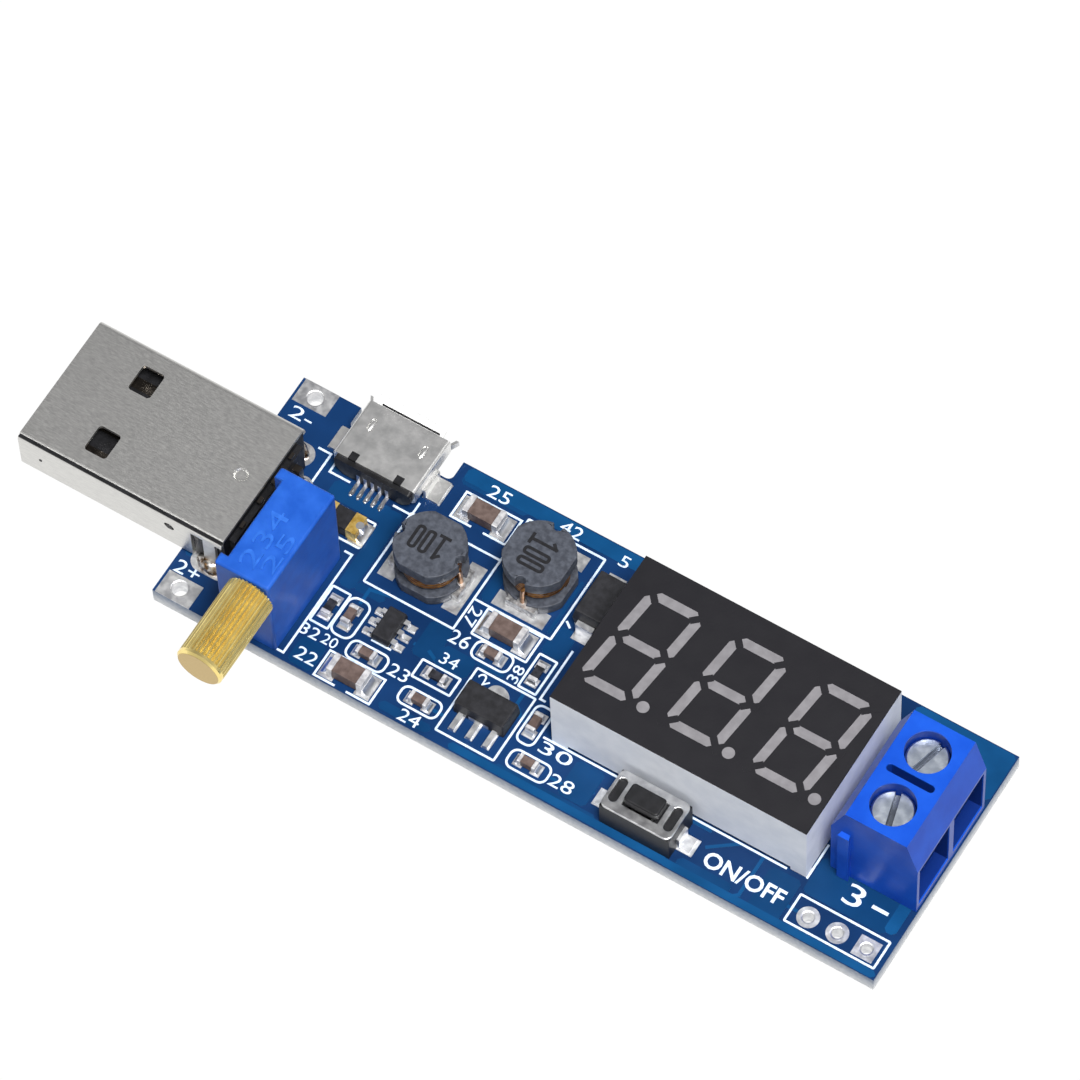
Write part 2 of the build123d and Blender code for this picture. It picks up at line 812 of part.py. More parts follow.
# Trimmer housing: end posts beside a recessed face, a chamber for the wiper and
# its screw, and a pocket underneath that the sealing resin fills
trimmer_near = trimmer_y - trimmer_length / 2
trimmer_left = trimmer_x - trimmer_width / 2
trimmer_right = trimmer_x + trimmer_width / 2
trimmer_bottom = pad_thickness
trimmer_top = trimmer_bottom + trimmer_height
chamber_half = element_width / 2
chamber_x = (knob_x - chamber_half, knob_x + chamber_half)
chamber_length = 2 * wiper_travel + wiper_length + 2 * wiper_fit
chamber_far = trimmer_far_y - trimmer_wall
chamber_y = (chamber_far - chamber_length, chamber_far)
wiper_bottom = knob_z - wiper_height / 2
wiper_top = knob_z + wiper_height / 2
element_top = wiper_bottom - wiper_fit
element_bottom = element_top - element_thickness
ring_outer_r = shank_r + shank_fit + ring_section
ring_y = (chamber_y[0] - ring_section, chamber_y[0])
seal_half_x = trimmer_width / 2 - trimmer_seal_wall - trimmer_recess
seal_half_y = trimmer_length / 2 - trimmer_seal_wall
with BuildPart() as trimmer_housing:
    with BuildSketch(at(trimmer_x, trimmer_y, trimmer_bottom)) as plan:
        Rectangle(trimmer_width, trimmer_length)
        fillet(plan.vertices(), trimmer_edge_r)
        with Locations((-trimmer_width / 2, 0)):
            Rectangle(
                2 * trimmer_recess,
                trimmer_length - 2 * trimmer_post,
                mode=Mode.SUBTRACT,
            )
    extrude(amount=trimmer_height)
    fillet(trimmer_housing.edges().group_by(Axis.Z)[-1], trimmer_edge_r)
    block(chamber_x, chamber_y, (element_bottom, wiper_top + wiper_fit), Mode.SUBTRACT)
    with BuildSketch(facing_near(knob_x, trimmer_near, knob_z)):
        Circle(shank_r + shank_fit)
    extrude(amount=trimmer_near - chamber_far - trimmer_wall / 2, mode=Mode.SUBTRACT)
    with BuildSketch(facing_near(knob_x, ring_y[1], knob_z)):
        Circle(ring_outer_r)
    extrude(amount=ring_section, mode=Mode.SUBTRACT)
    with BuildSketch(at(trimmer_x, trimmer_y, trimmer_bottom)):
        Rectangle(2 * seal_half_x, 2 * seal_half_y)
    extrude(amount=trimmer_seal_depth, mode=Mode.SUBTRACT)
finish("trimmer_housing", trimmer_housing)

# Resin that seals the trimmer underneath, round its three pins
with BuildPart() as trimmer_seal:
    with BuildSketch(at(trimmer_x, trimmer_y, trimmer_bottom)):
        Rectangle(2 * seal_half_x, 2 * seal_half_y)
        with GridLocations(0, trimmer_pin_pitch, 1, 3):
            Rectangle(trimmer_pin, trimmer_pin, mode=Mode.SUBTRACT)
    extrude(amount=trimmer_seal_depth)
finish("trimmer_seal", trimmer_seal)

with BuildPart() as trimmer_pins:
    with BuildSketch(at(0, 0, pin_bottom)):
        with Locations(*trimmer_pin_places):
            Rectangle(trimmer_pin, trimmer_pin)
    extrude(amount=trimmer_bottom + trimmer_seal_depth - pin_bottom)
finish("trimmer_pins", trimmer_pins)

# Resistance element on the floor of the chamber
with BuildPart() as trimmer_element:
    block(chamber_x, chamber_y, (element_bottom, element_top))
finish("trimmer_element", trimmer_element)

# Rubber ring that seals the adjusting screw
with BuildPart() as trimmer_ring:
    with BuildSketch(facing_near(knob_x, ring_y[1], knob_z)):
        Circle(ring_outer_r)
        Circle(shank_r + shank_fit, mode=Mode.SUBTRACT)
    extrude(amount=ring_section)
finish("trimmer_ring", trimmer_ring)

# Brass adjusting screw: a straight-knurled knob outside, a plain shank inside
knob_face_y = trimmer_near - knob_gap
knob_end_y = trimmer_near - knob_length
groove_half = pi * knob_r / knob_groove_count * knob_groove_share
with BuildPart() as trimmer_adjusting_screw:
    with BuildSketch(facing_near(knob_x, knob_face_y, knob_z)):
        Circle(knob_r)
        with PolarLocations(knob_r, knob_groove_count):
            Polygon(
                (0, groove_half),
                (-knob_groove_depth, 0),
                (0, -groove_half),
                (knob_groove_depth, 0),
                align=None,
                mode=Mode.SUBTRACT,
            )
    extrude(amount=knob_face_y - knob_end_y - knob_plain_end)
    with BuildSketch(facing_near(knob_x, knob_end_y + knob_plain_end, knob_z)):
        Circle(knob_r)
    extrude(amount=knob_plain_end)
    knob_axis = Axis(facing_near(knob_x, knob_face_y, knob_z).origin, (0, -1, 0))
    with BuildSketch(facing_right(knob_x, knob_end_y, knob_z)):
        with BuildLine():
            Polyline(
                (0, knob_r - knob_chamfer),
                (0, knob_r + knob_chamfer),
                (knob_chamfer, knob_r + knob_chamfer),
                (knob_chamfer, knob_r),
                close=True,
            )
        make_face()
    revolve(axis=knob_axis, mode=Mode.SUBTRACT)
    with BuildSketch(facing_near(knob_x, knob_face_y, knob_z)):
        Circle(shank_r)
    extrude(amount=knob_face_y - chamber_far - trimmer_wall / 2 + knob_gap)
finish("trimmer_adjusting_screw", trimmer_adjusting_screw)

# Wiper carriage, which the screw drives along the element
wiper_y = (chamber_y[0] + chamber_y[1]) / 2
with BuildPart() as trimmer_wiper:
    block(
        (knob_x - wiper_width / 2, knob_x + wiper_width / 2),
        (wiper_y - wiper_length / 2, wiper_y + wiper_length / 2),
        (wiper_bottom, wiper_top),
    )
    with BuildSketch(facing_near(knob_x, wiper_y + wiper_length / 2, knob_z)):
        Circle(shank_r + shank_fit)
    extrude(amount=wiper_length, mode=Mode.SUBTRACT)
finish("trimmer_wiper", trimmer_wiper)


def flange_outline():
    """An inductor flange: round ends, flat sides, and a wire notch at each end."""
    Circle(inductor_length / 2)
    Rectangle(inductor_length, inductor_width, mode=Mode.INTERSECT)
    with GridLocations(inductor_length, 0, 2, 1):
        SlotOverall(2 * inductor_notch_depth, inductor_notch_width, mode=Mode.SUBTRACT)


# Two drum inductors: ferrite core, copper winding and soldered ends
for number, (x, y, turn) in enumerate(inductor_places, start=1):
    base_z = pad_thickness
    base = at(x, y, base_z).rotated((0, 0, turn))
    winding_low = inductor_base
    winding_high = inductor_height - inductor_flange
    with BuildPart() as core:
        with BuildSketch(base):
            flange_outline()
        extrude(amount=inductor_base)
        with BuildSketch(base.offset(winding_high)):
            flange_outline()
        extrude(amount=inductor_flange)
        with BuildSketch(base.offset(winding_low)):
            Circle(inductor_core_r)
        extrude(amount=winding_high - winding_low)
        with BuildSketch(base):
            with GridLocations(inductor_length - inductor_end_length, 0, 2, 1):
                Rectangle(inductor_end_length, inductor_end_width)
        extrude(amount=inductor_end_height, mode=Mode.SUBTRACT)
    finish(f"inductor_{number}_core", core)

    turn_height = (winding_high - winding_low) / winding_turns
    profile = [(inductor_core_r, winding_low), (winding_r - winding_groove, winding_low)]
    for i in range(winding_turns):
        profile.append((winding_r, winding_low + (i + 0.5) * turn_height))
        profile.append((winding_r - winding_groove, winding_low + (i + 1) * turn_height))
    profile.append((inductor_core_r, winding_high))
    with BuildPart() as winding:
        with BuildSketch(facing_near(x, y, base_z)):
            with BuildLine():
                Polyline(*profile, close=True)
            make_face()
        revolve(axis=Axis(base.origin, (0, 0, 1)))
    finish(f"inductor_{number}_winding", winding)

    with BuildPart() as ends:
        with BuildSketch(base):
            reach = inductor_end_length + inductor_end_reach
            with GridLocations(inductor_length - inductor_end_length + inductor_end_reach, 0, 2, 1):
                Rectangle(reach, inductor_end_width)
        extrude(amount=inductor_end_height)
    finish(f"inductor_{number}_ends", ends)


def shear(x, y):
    """Leans a point of a digit to the right, as the display's digits lean."""
    return x + y * tan(radians(digit_slant)), y


def segment_shape(x, y, length, upright):
    """One bar of a digit: a long hexagon with pointed ends."""
    half = length / 2
    side = segment_width / 2
    shape = [
        (-half, 0),
        (side - half, side),
        (half - side, side),
        (half, 0),
        (half - side, -side),
        (side - half, -side),
    ]
    if upright:
        shape = [(-b, a) for a, b in shape]
    return [shear(x + a, y + b) for a, b in shape]


# The seven bars of a digit: centre, length and whether it stands upright
level_length = 2 * digit_half_width - segment_gap
upright_length = digit_half_height - segment_gap
digit_bars = [(0, row * digit_half_height, level_length, False) for row in (-1, 0, 1)] + [
    (side * digit_half_width, row * digit_half_height / 2, upright_length, True)
    for row in (-1, 1)
    for side in (-1, 1)
]


def digit_shapes():
    """All bars and decimal points of the display, on its own plane."""
    for i in range(digit_count):
        digit_x = (i - (digit_count - 1) / 2) * digit_pitch
        for x, y, length, upright in digit_bars:
            with Locations((digit_x, digit_drop)):
                Polygon(*segment_shape(x, y, length, upright), align=None)
        with Locations((digit_x + point_x, digit_drop - digit_half_height)):
            Circle(point_r)


# Display: housing with light wells, open at the back, on four corner feet
display_bottom = pad_thickness + display_foot
display_top = pad_thickness + display_height
well_bottom = display_bottom + display_back_depth
with BuildPart() as display_housing:
    with BuildSketch(at(display_x, display_y, display_bottom)):
        Rectangle(display_length, display_width)
    extrude(amount=display_top - display_bottom)
    with BuildSketch(at(display_x, display_y, display_bottom)):
        Rectangle(display_length - 2 * display_wall, display_width - 2 * display_wall)
    extrude(amount=display_back_depth, mode=Mode.SUBTRACT)
    with BuildSketch(at(display_x, display_y, display_bottom)):
        foot_span_x = display_length - display_foot_size
        foot_span_y = display_width - display_wall
        with GridLocations(foot_span_x, foot_span_y, 2, 2):
            Rectangle(display_foot_size, display_wall)
    extrude(amount=-display_foot)
    with BuildSketch(at(display_x, display_y, well_bottom)):
        digit_shapes()
    extrude(amount=display_top - well_bottom, mode=Mode.SUBTRACT)
finish("display_housing", display_housing)

# Clear resin in the light wells
with BuildPart() as display_segments:
    with BuildSketch(at(display_x, display_y, well_bottom)):
        digit_shapes()
    extrude(amount=display_top - well_bottom)
finish("display_segments", display_segments)

# The display's own board, with its pins
display_board_z = well_bottom - display_board_thickness
with BuildPart() as display_circuit_board:
    with BuildSketch(at(display_x, display_y, display_board_z)):
        Rectangle(display_length - 2 * display_wall, display_width - 2 * display_wall)
        with GridLocations(display_pin_pitch, display_pin_span, display_pin_count, 2):
            Rectangle(display_pin, display_pin, mode=Mode.SUBTRACT)
    extrude(amount=display_board_thickness)
finish("display_circuit_board", display_circuit_board)

with BuildPart() as display_pins:
    with BuildSketch(at(0, 0, pin_bottom)):
        with Locations(*display_pin_places):
            Rectangle(display_pin, display_pin)
    extrude(amount=well_bottom - pin_bottom)
finish("display_pins", display_pins)

# Push button switch: moulded body with a round cavity for the snap dome
switch_bottom = pad_thickness
switch_body_top = switch_bottom + switch_body_height
switch_cover_top = switch_body_top + switch_cover_thickness
cavity_floor = switch_body_top - switch_cavity_depth
with BuildPart() as switch_body:
    with BuildSketch(at(switch_x, switch_y, switch_bottom)):
        Rectangle(switch_length, switch_width)
    extrude(amount=switch_body_height)
    with BuildSketch(at(switch_x, switch_y, cavity_floor)):
        Circle(switch_cavity_r)
    extrude(amount=switch_cavity_depth, mode=Mode.SUBTRACT)
finish("switch_body", switch_body)

# Stamped cover with rounded ends, an opening for the button and two end holes
with BuildPart() as switch_cover:
    with BuildSketch(at(switch_x, switch_y, switch_body_top)):
        RectangleRounded(switch_length, switch_width, switch_cover_corner_r)
        opening_x = button_length + 2 * button_fit
        opening_y = button_width + 2 * button_fit
        Rectangle(opening_x, opening_y, mode=Mode.SUBTRACT)
        with GridLocations(2 * switch_cover_hole_x, 0, 2, 1):
            SlotOverall(
                switch_cover_hole_length,
                switch_cover_hole_width,
                rotation=90,
                mode=Mode.SUBTRACT,
            )
    extrude(amount=switch_cover_thickness)
finish("switch_cover", switch_cover)

# Snap dome on the cavity floor, which returns the button: a thin spherical cap
dome_r = switch_cavity_r - button_fit
dome_sphere_r = (dome_r ** 2 + dome_rise ** 2) / (2 * dome_rise)
dome_centre_z = cavity_floor + dome_rise - dome_sphere_r
with BuildPart() as switch_dome:
    with Locations(at(switch_x, switch_y, dome_centre_z)):
        Sphere(dome_sphere_r)
        Sphere(dome_sphere_r - dome_thickness, mode=Mode.SUBTRACT)
    split(bisect_by=at(switch_x, switch_y, cavity_floor), keep=Keep.TOP)
finish("switch_dome", switch_dome)

# Button: a cap over the cover's opening, with a stem down to the dome
button_top = switch_cover_top + button_rise
stem_bottom = cavity_floor + dome_rise + button_free_travel
cap_bottom = switch_body_top + button_travel + button_cap_gap
with BuildPart() as switch_button:
    with BuildSketch(at(switch_x, switch_y, cap_bottom)):
        RectangleRounded(button_length, button_width, button_corner_r)
    extrude(amount=button_top - cap_bottom)
    fillet(switch_button.edges().group_by(Axis.Z)[-1], button_edge_r)
    with BuildSketch(at(switch_x, switch_y, stem_bottom)):
        Circle(switch_stem_r)
    extrude(amount=cap_bottom - stem_bottom)
finish("switch_button", switch_button)

# Flat leads that leave the switch at both ends
with BuildPart() as switch_leads:
    half_lead = switch_lead_thickness / 2
    for side in (-1, 1):
        end_x = switch_x + side * switch_length / 2
        bend = [
            (end_x + side * half_lead, switch_bottom + switch_body_height / 2),
            (end_x + side * half_lead, switch_bottom + half_lead),
            (end_x + side * switch_lead_reach, switch_bottom + half_lead),
        ]
        bent_strip(facing_near(0, switch_y), bend, switch_lead_thickness, switch_lead_width)
finish("switch_leads", switch_leads)

# Screw terminal: housing with a wire entry, a screw hole and a chamber for each way
terminal_bottom = pad_thickness
terminal_back_x = terminal_front_x - terminal_depth
terminal_top = terminal_bottom + terminal_height
terminal_width = terminal_ways * terminal_pitch
terminal_screw_x = terminal_front_x - terminal_screw_setback
cage_height = terminal_cage_wall + terminal_cage_opening + terminal_cage_top
cage_bottom = terminal_bottom + terminal_cage_z
cage_top = cage_bottom + cage_height
cage_roof = cage_bottom + terminal_cage_wall + terminal_cage_opening
bar_top = cage_roof - terminal_cage_gap - terminal_seat_gap
bar_bottom = bar_top - terminal_bar_thickness
chamber_top = cage_top + terminal_travel + terminal_cage_gap
head_top = terminal_top - terminal_head_recess
head_bottom = head_top - terminal_head_height
seat_z = head_bottom - terminal_seat_gap
cage_x = (terminal_screw_x - terminal_cage_length / 2, terminal_screw_x + terminal_cage_length / 2)
bar_back_x = terminal_pin_x - terminal_bar_thickness / 2
with BuildPart() as terminal_housing:
    with BuildSketch(facing_near(0, terminal_y + terminal_width / 2)):
        with BuildLine():
            Polyline(
                (terminal_back_x, terminal_bottom),
                (terminal_front_x, terminal_bottom),
                (terminal_front_x, terminal_top - terminal_chamfer_height),
                (terminal_front_x - terminal_chamfer, terminal_top),
                (terminal_back_x + terminal_back_slope, terminal_top),
                (terminal_back_x, terminal_top - terminal_back_height),
                close=True,
            )
        make_face()
    extrude(amount=terminal_width)
    with BuildSketch(at(terminal_screw_x, terminal_y, terminal_top)):
        SlotOverall(terminal_groove_length, terminal_groove_width)
    extrude(amount=-terminal_groove_depth, mode=Mode.SUBTRACT)
    rib_x = terminal_back_x + terminal_rib_setback + terminal_rib_width / 2
    for side in (-1, 1):
        with BuildSketch(at(rib_x, terminal_y + side * terminal_width / 2, terminal_bottom)):
            with BuildLine():
                Polyline(
                    (-terminal_rib_neck / 2, 0),
                    (terminal_rib_neck / 2, 0),
                    (terminal_rib_width / 2, -terminal_rib_depth),
                    (-terminal_rib_width / 2, -terminal_rib_depth),
                    close=True,
                )
            make_face()
        extrude(amount=terminal_rib_height, mode=Mode.ADD if side < 0 else Mode.SUBTRACT)
    for way_y in terminal_ways_y:
        with BuildSketch(at(terminal_screw_x, way_y, terminal_top)):
            Circle(terminal_head_hole_r)
        extrude(amount=seat_z - terminal_top, mode=Mode.SUBTRACT)
        with BuildSketch(at(terminal_screw_x, way_y, seat_z)):
            Circle(terminal_screw_r + terminal_screw_fit)
        extrude(amount=chamber_top - seat_z, mode=Mode.SUBTRACT)
        room_y = terminal_cage_width / 2 + terminal_cage_gap
        block(
            (cage_x[0] - terminal_cage_gap, cage_x[1] + terminal_cage_gap),
            (way_y - room_y, way_y + room_y),
            (cage_bottom - terminal_cage_gap, chamber_top),
            Mode.SUBTRACT,
        )
        half_recess = terminal_recess_width / 2
        block(
            (terminal_front_x - terminal_recess_depth, terminal_front_x),
            (way_y - half_recess, way_y + half_recess),
            (terminal_bottom + terminal_recess_bottom, terminal_bottom + terminal_recess_top),
            Mode.SUBTRACT,
        )
        entry_low = terminal_bottom + terminal_entry_bottom
        block(
            (cage_x[1], terminal_front_x),
            (way_y - terminal_entry_width / 2, way_y + terminal_entry_width / 2),
            (entry_low, entry_low + terminal_entry_height),
            Mode.SUBTRACT,
        )
        bar_y = (way_y - terminal_bar_width / 2, way_y + terminal_bar_width / 2)
        block((bar_back_x, cage_x[0]), bar_y, (terminal_bottom, bar_top), Mode.SUBTRACT)
finish("terminal_housing", terminal_housing)

# For each way, a slotted screw that can turn but not rise, and a cage that it lifts
for number, (way_y, slot_turn) in enumerate(zip(terminal_ways_y, terminal_slot_turns), start=1):
    with BuildPart() as screw:
        with BuildSketch(at(terminal_screw_x, way_y, head_bottom)):
            Circle(terminal_head_r)
        extrude(amount=terminal_head_height)
        chamfer(screw.edges().group_by(Axis.Z)[-1], terminal_head_chamfer)
        slot_plane = at(terminal_screw_x, way_y, head_top).rotated((0, 0, 90 + slot_turn))
        with BuildSketch(slot_plane):
            Rectangle(2 * terminal_head_r, terminal_slot_width)
        extrude(amount=-terminal_slot_depth, mode=Mode.SUBTRACT)
        with BuildSketch(at(terminal_screw_x, way_y, bar_top + terminal_seat_gap)):
            Circle(terminal_screw_r)
        extrude(amount=head_bottom - bar_top - terminal_seat_gap)
    finish(f"terminal_screw_{number}", screw)

    with BuildPart() as cage:
        half_cage = terminal_cage_width / 2
        block(cage_x, (way_y - half_cage, way_y + half_cage), (cage_bottom, cage_top))
        inner_half = half_cage - terminal_cage_wall
        inner_low = cage_bottom + terminal_cage_wall
        block(
            cage_x,
            (way_y - inner_half, way_y + inner_half),
            (inner_low, inner_low + terminal_cage_opening),
            Mode.SUBTRACT,
        )
        with BuildSketch(at(terminal_screw_x, way_y, cage_top)):
            Circle(terminal_screw_r + terminal_screw_fit)
        extrude(amount=-terminal_cage_top, mode=Mode.SUBTRACT)
    finish(f"terminal_cage_{number}", cage)

# Fixed contact bars through the cages, bent down at the back into the board
with BuildPart() as terminal_pins:
    bar_end_x = cage_x[1]
    for way_y in terminal_ways_y:
        bar_y = (way_y - terminal_bar_width / 2, way_y + terminal_bar_width / 2)
        block((bar_back_x, bar_end_x), bar_y, (bar_bottom, bar_top))
        riser_x = (bar_back_x, bar_back_x + terminal_bar_thickness)
        block(riser_x, bar_y, (terminal_bottom, bar_bottom))
        half_pin = terminal_pin_width / 2
        block(riser_x, (way_y - half_pin, way_y + half_pin), (pin_bottom, terminal_bottom))
finish("terminal_pins", terminal_pins)

# Power diode: body tapered above and below its leads, which wrap its ends
diode_bottom = pad_thickness + diode_lead_thickness
diode_middle = diode_bottom + diode_lift + (diode_height - diode_lift) / 2
with BuildPart() as diode_body:
    diode_half_height = diode_middle - diode_bottom
    with BuildSketch(at(diode_x, diode_y, diode_middle)):
        Rectangle(diode_width, diode_length)
    extrude(amount=diode_half_height, taper=diode_taper)
    with BuildSketch(at(diode_x, diode_y, diode_middle)):
        Rectangle(diode_width, diode_length)
    extrude(amount=-diode_half_height, taper=diode_taper)
finish("diode_body", diode_body)

with BuildPart() as diode_leads:
    half_lead = diode_lead_thickness / 2
    for side in (-1, 1):
        end_y = diode_y + side * diode_length / 2
        out_y = end_y + side * (diode_lead_reach - half_lead)
        bend = [
            (end_y, diode_middle),
            (out_y, diode_middle),
            (out_y, pad_thickness + half_lead),
            (end_y - side * diode_lead_foot, pad_thickness + half_lead),
        ]
        bent_strip(facing_right(diode_x, 0), bend, diode_lead_thickness, diode_lead_width)
finish("diode_leads", diode_leads)


def gull_wing(edge, side, top, floor, reach):
    """A lead that leaves a chip's side, steps down and ends in a flat foot."""
    step = reach * lead_step_share
    bend_x = edge + side * step
    return [(edge, top), (bend_x, top), (bend_x, floor), (edge + side * reach, floor)]


# Six-legged converter chip
chip_bottom = pad_thickness + chip_lift
chip_middle = chip_bottom + (chip_height - chip_lift) / 2
with BuildPart() as converter_chip:
    half_height = chip_middle - chip_bottom
    for way in (-1, 1):
        with BuildSketch(at(chip_x, chip_y, chip_middle)):
            Rectangle(chip_width, chip_length)
        extrude(amount=way * half_height, taper=chip_taper)
finish("converter_chip", converter_chip)

with BuildPart() as converter_chip_leads:
    lead_floor = pad_thickness + lead_thickness / 2
    for side in (-1, 1):
        edge = chip_x + side * chip_width / 2
        bend = gull_wing(edge, side, chip_middle, lead_floor, chip_lead_reach)
        for i in (-1, 0, 1):
            lead_plane = facing_near(0, chip_y + i * chip_pitch)
            bent_strip(lead_plane, bend, lead_thickness, chip_lead_width)
finish("converter_chip_leads", converter_chip_leads)

# Regulator with a heat tab behind and three straight legs in front
with BuildPart() as regulator_body:
    with BuildSketch(at(regulator_x, regulator_y, pad_thickness + regulator_lead_thickness)):
        Rectangle(regulator_length, regulator_width)
    extrude(amount=regulator_height - regulator_lead_thickness, taper=regulator_taper)
    with BuildSketch(at(regulator_x, regulator_y, pad_thickness)):
        Rectangle(regulator_length, regulator_width)
        Rectangle(regulator_tab_width, regulator_width, mode=Mode.SUBTRACT)
    extrude(amount=regulator_lead_thickness)
finish("regulator_body", regulator_body)

with BuildPart() as regulator_leads:
    front_y = regulator_y - regulator_width / 2
    rear_y = regulator_y + regulator_width / 2
    with BuildSketch(at(regulator_x, 0, pad_thickness)) as legs:
        with Locations((0, front_y)):
            with GridLocations(regulator_pitch, 0, 3, 1):
                Rectangle(
                    regulator_lead_width,
                    regulator_lead_reach,
                    align=(Align.CENTER, Align.MAX),
                )
        with Locations((0, (front_y + rear_y + regulator_tab_reach) / 2)):
            Rectangle(regulator_tab_width, regulator_width + regulator_tab_reach)
        tab_corners = legs.vertices().group_by(Axis.Y)[-1]
        fillet(tab_corners, regulator_tab_width / 2 - end_cap)
    extrude(amount=regulator_lead_thickness)
finish("regulator_leads", regulator_leads)

# Meter chip under the board
underside = -board_thickness
with BuildPart() as meter_chip:
    with BuildSketch(at(display_x, display_y, underside - chip_lift)):
        Rectangle(meter_length, meter_width)
    extrude(amount=-meter_height)
finish("meter_chip", meter_chip)

with BuildPart() as meter_chip_leads:
    lead_roof = underside - lead_thickness / 2
    lead_level = underside - chip_lift - meter_height / 2
    for side in (-1, 1):
        edge = display_y + side * meter_width / 2
        bend = gull_wing(edge, side, lead_level, lead_roof, meter_lead_reach)
        for i in range(meter_lead_count):
            x = display_x + (i - (meter_lead_count - 1) / 2) * meter_pitch
            bent_strip(facing_right(x, 0), bend, lead_thickness, meter_lead_width)
finish("meter_chip_leads", meter_chip_leads)


def stack_of_boxes(places, length, width, low, height, mode=Mode.ADD):
    """The same upright block at each place, each with its own turn."""
    for x, y, turn in places:
        with BuildSketch(at(x, y, low).rotated((0, 0, turn))) as outline:
            Rectangle(length, width)
        extrude(outline.sketch, amount=height, mode=mode)


def two_ended(name, places, size, end):
    """Small parts with a body and a metal cap over each end."""
    length, width, height = size
    inner = (length - 2 * end_cap, width - 2 * end_cap, height - 2 * end_cap)
    low = pad_thickness + end_cap
    with BuildPart() as bodies:
        stack_of_boxes(places, inner[0], inner[1], low, inner[2])
    finish(name, bodies)
    with BuildPart() as ends:
        for x, y, turn in places:
            with BuildSketch(at(x, y, pad_thickness).rotated((0, 0, turn))) as outline:
                with GridLocations(length - end, 0, 2, 1):
                    Rectangle(end, width)
            extrude(outline.sketch, amount=height)
        stack_of_boxes(places, inner[0], inner[1], low, inner[2], Mode.SUBTRACT)
    finish(f"{name}_ends", ends)


two_ended("large_capacitors", large_places, large_size, large_end)
two_ended("small_capacitors", small_places, small_size, small_end)
two_ended("resistors", resistor_places, resistor_size, resistor_end)
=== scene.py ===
# %% [markdown]
# # A small voltage converter module
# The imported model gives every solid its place, so this script dresses it: finishes, the printed
# marks on the board, the wound wire, the solder and the fine forms that solids don't carry. It
# starts with the frame, because every piece that follows is placed on it.

# %% Load the frame
import math

import bmesh
import bpy
from mathutils import Euler, Matrix, Vector


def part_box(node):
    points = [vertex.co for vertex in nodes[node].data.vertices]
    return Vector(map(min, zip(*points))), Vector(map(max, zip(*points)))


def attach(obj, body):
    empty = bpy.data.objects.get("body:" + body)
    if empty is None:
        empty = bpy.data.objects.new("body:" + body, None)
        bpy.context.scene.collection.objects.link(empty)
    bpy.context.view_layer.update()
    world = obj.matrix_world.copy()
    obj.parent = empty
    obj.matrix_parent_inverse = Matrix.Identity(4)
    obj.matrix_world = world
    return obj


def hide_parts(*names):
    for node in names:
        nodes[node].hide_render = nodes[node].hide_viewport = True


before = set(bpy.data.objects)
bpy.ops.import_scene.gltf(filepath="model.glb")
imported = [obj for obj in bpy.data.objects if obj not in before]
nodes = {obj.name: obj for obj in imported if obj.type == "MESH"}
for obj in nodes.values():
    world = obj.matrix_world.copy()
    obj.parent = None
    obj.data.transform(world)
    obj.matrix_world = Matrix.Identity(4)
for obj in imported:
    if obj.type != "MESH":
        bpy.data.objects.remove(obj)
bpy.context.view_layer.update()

mm = 0.001

# %% [markdown]
# Everything on the module sits on the blue board, so places are given from the board's near left
# corner, on its upper face, in millimetres. One helper turns them into the frame's metres.

# %% Places on the board
board_low, board_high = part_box("circuit_board")
board_thickness = (board_high.z - board_low.z) / mm
pad_thickness = 0.05


def on_board(x, y, z=0.0):
    """A point of the board, in metres in the frame."""
    return Vector((board_low.x + x * mm, board_low.y + y * mm, board_high.z + z * mm))


print("board, mm:", [round(v / mm, 2) for v in (*board_low, *board_high)])

# %% [markdown]
# The photograph was taken from high up on the near right side with a long lens, so that parallel
# edges stay nearly parallel. The camera's place and turn come from the plug, the display and the
# terminal, whose real sizes are known.

# %% Camera
camera_place = (186.166, -218.476, 539.292)
camera_turn = (28.053, 1.543, 31.679)
camera_data = bpy.data.cameras.new("camera")
camera_data.sensor_width = 36
camera_data.lens = 264.17
camera_data.shift_x = 0.0084
camera_data.shift_y = 0.0012
camera_data.clip_end = 10
camera = bpy.data.objects.new("camera", camera_data)
camera.location = on_board(*camera_place)
camera.rotation_euler = Euler([math.radians(a) for a in camera_turn])
bpy.context.scene.collection.objects.link(camera)
bpy.context.scene.camera = camera
print("camera distance, mm:", round(camera.location.length / mm, 1))

# %% [markdown]
# A shot like this stands on a white sweep in a room with soft walls. The camera and the metal see
# the floor pure white, while the light that it gives back to the sides is that of grey paper.

# %% Floor
floor_mesh = bpy.data.meshes.new("floor")
sketch = bmesh.new()
bmesh.ops.create_grid(sketch, x_segments=1, y_segments=1, size=3.0)
sketch.to_mesh(floor_mesh)
sketch.free()
floor = bpy.data.objects.new("floor", floor_mesh)
bpy.context.scene.collection.objects.link(floor)
floor_finish = bpy.data.materials.new("floor_paper")
floor_finish.use_nodes = True
tree = floor_finish.node_tree
tree.nodes.clear()
paper = tree.nodes.new("ShaderNodeBsdfDiffuse")
paper.inputs["Color"].default_value = (0.17, 0.17, 0.17, 1)
glow = tree.nodes.new("ShaderNodeEmission")
glow.inputs["Strength"].default_value = 1.02
rays = tree.nodes.new("ShaderNodeLightPath")
seen = tree.nodes.new("ShaderNodeMath")
seen.operation = "ADD"
seen.use_clamp = True
blend = tree.nodes.new("ShaderNodeMixShader")
out = tree.nodes.new("ShaderNodeOutputMaterial")
tree.links.new(rays.outputs["Is Camera Ray"], seen.inputs[0])
tree.links.new(rays.outputs["Is Glossy Ray"], seen.inputs[1])
tree.links.new(seen.outputs[0], blend.inputs[0])
tree.links.new(paper.outputs[0], blend.inputs[1])
tree.links.new(glow.outputs[0], blend.inputs[2])
tree.links.new(blend.outputs[0], out.inputs["Surface"])
floor_mesh.materials.append(floor_finish)
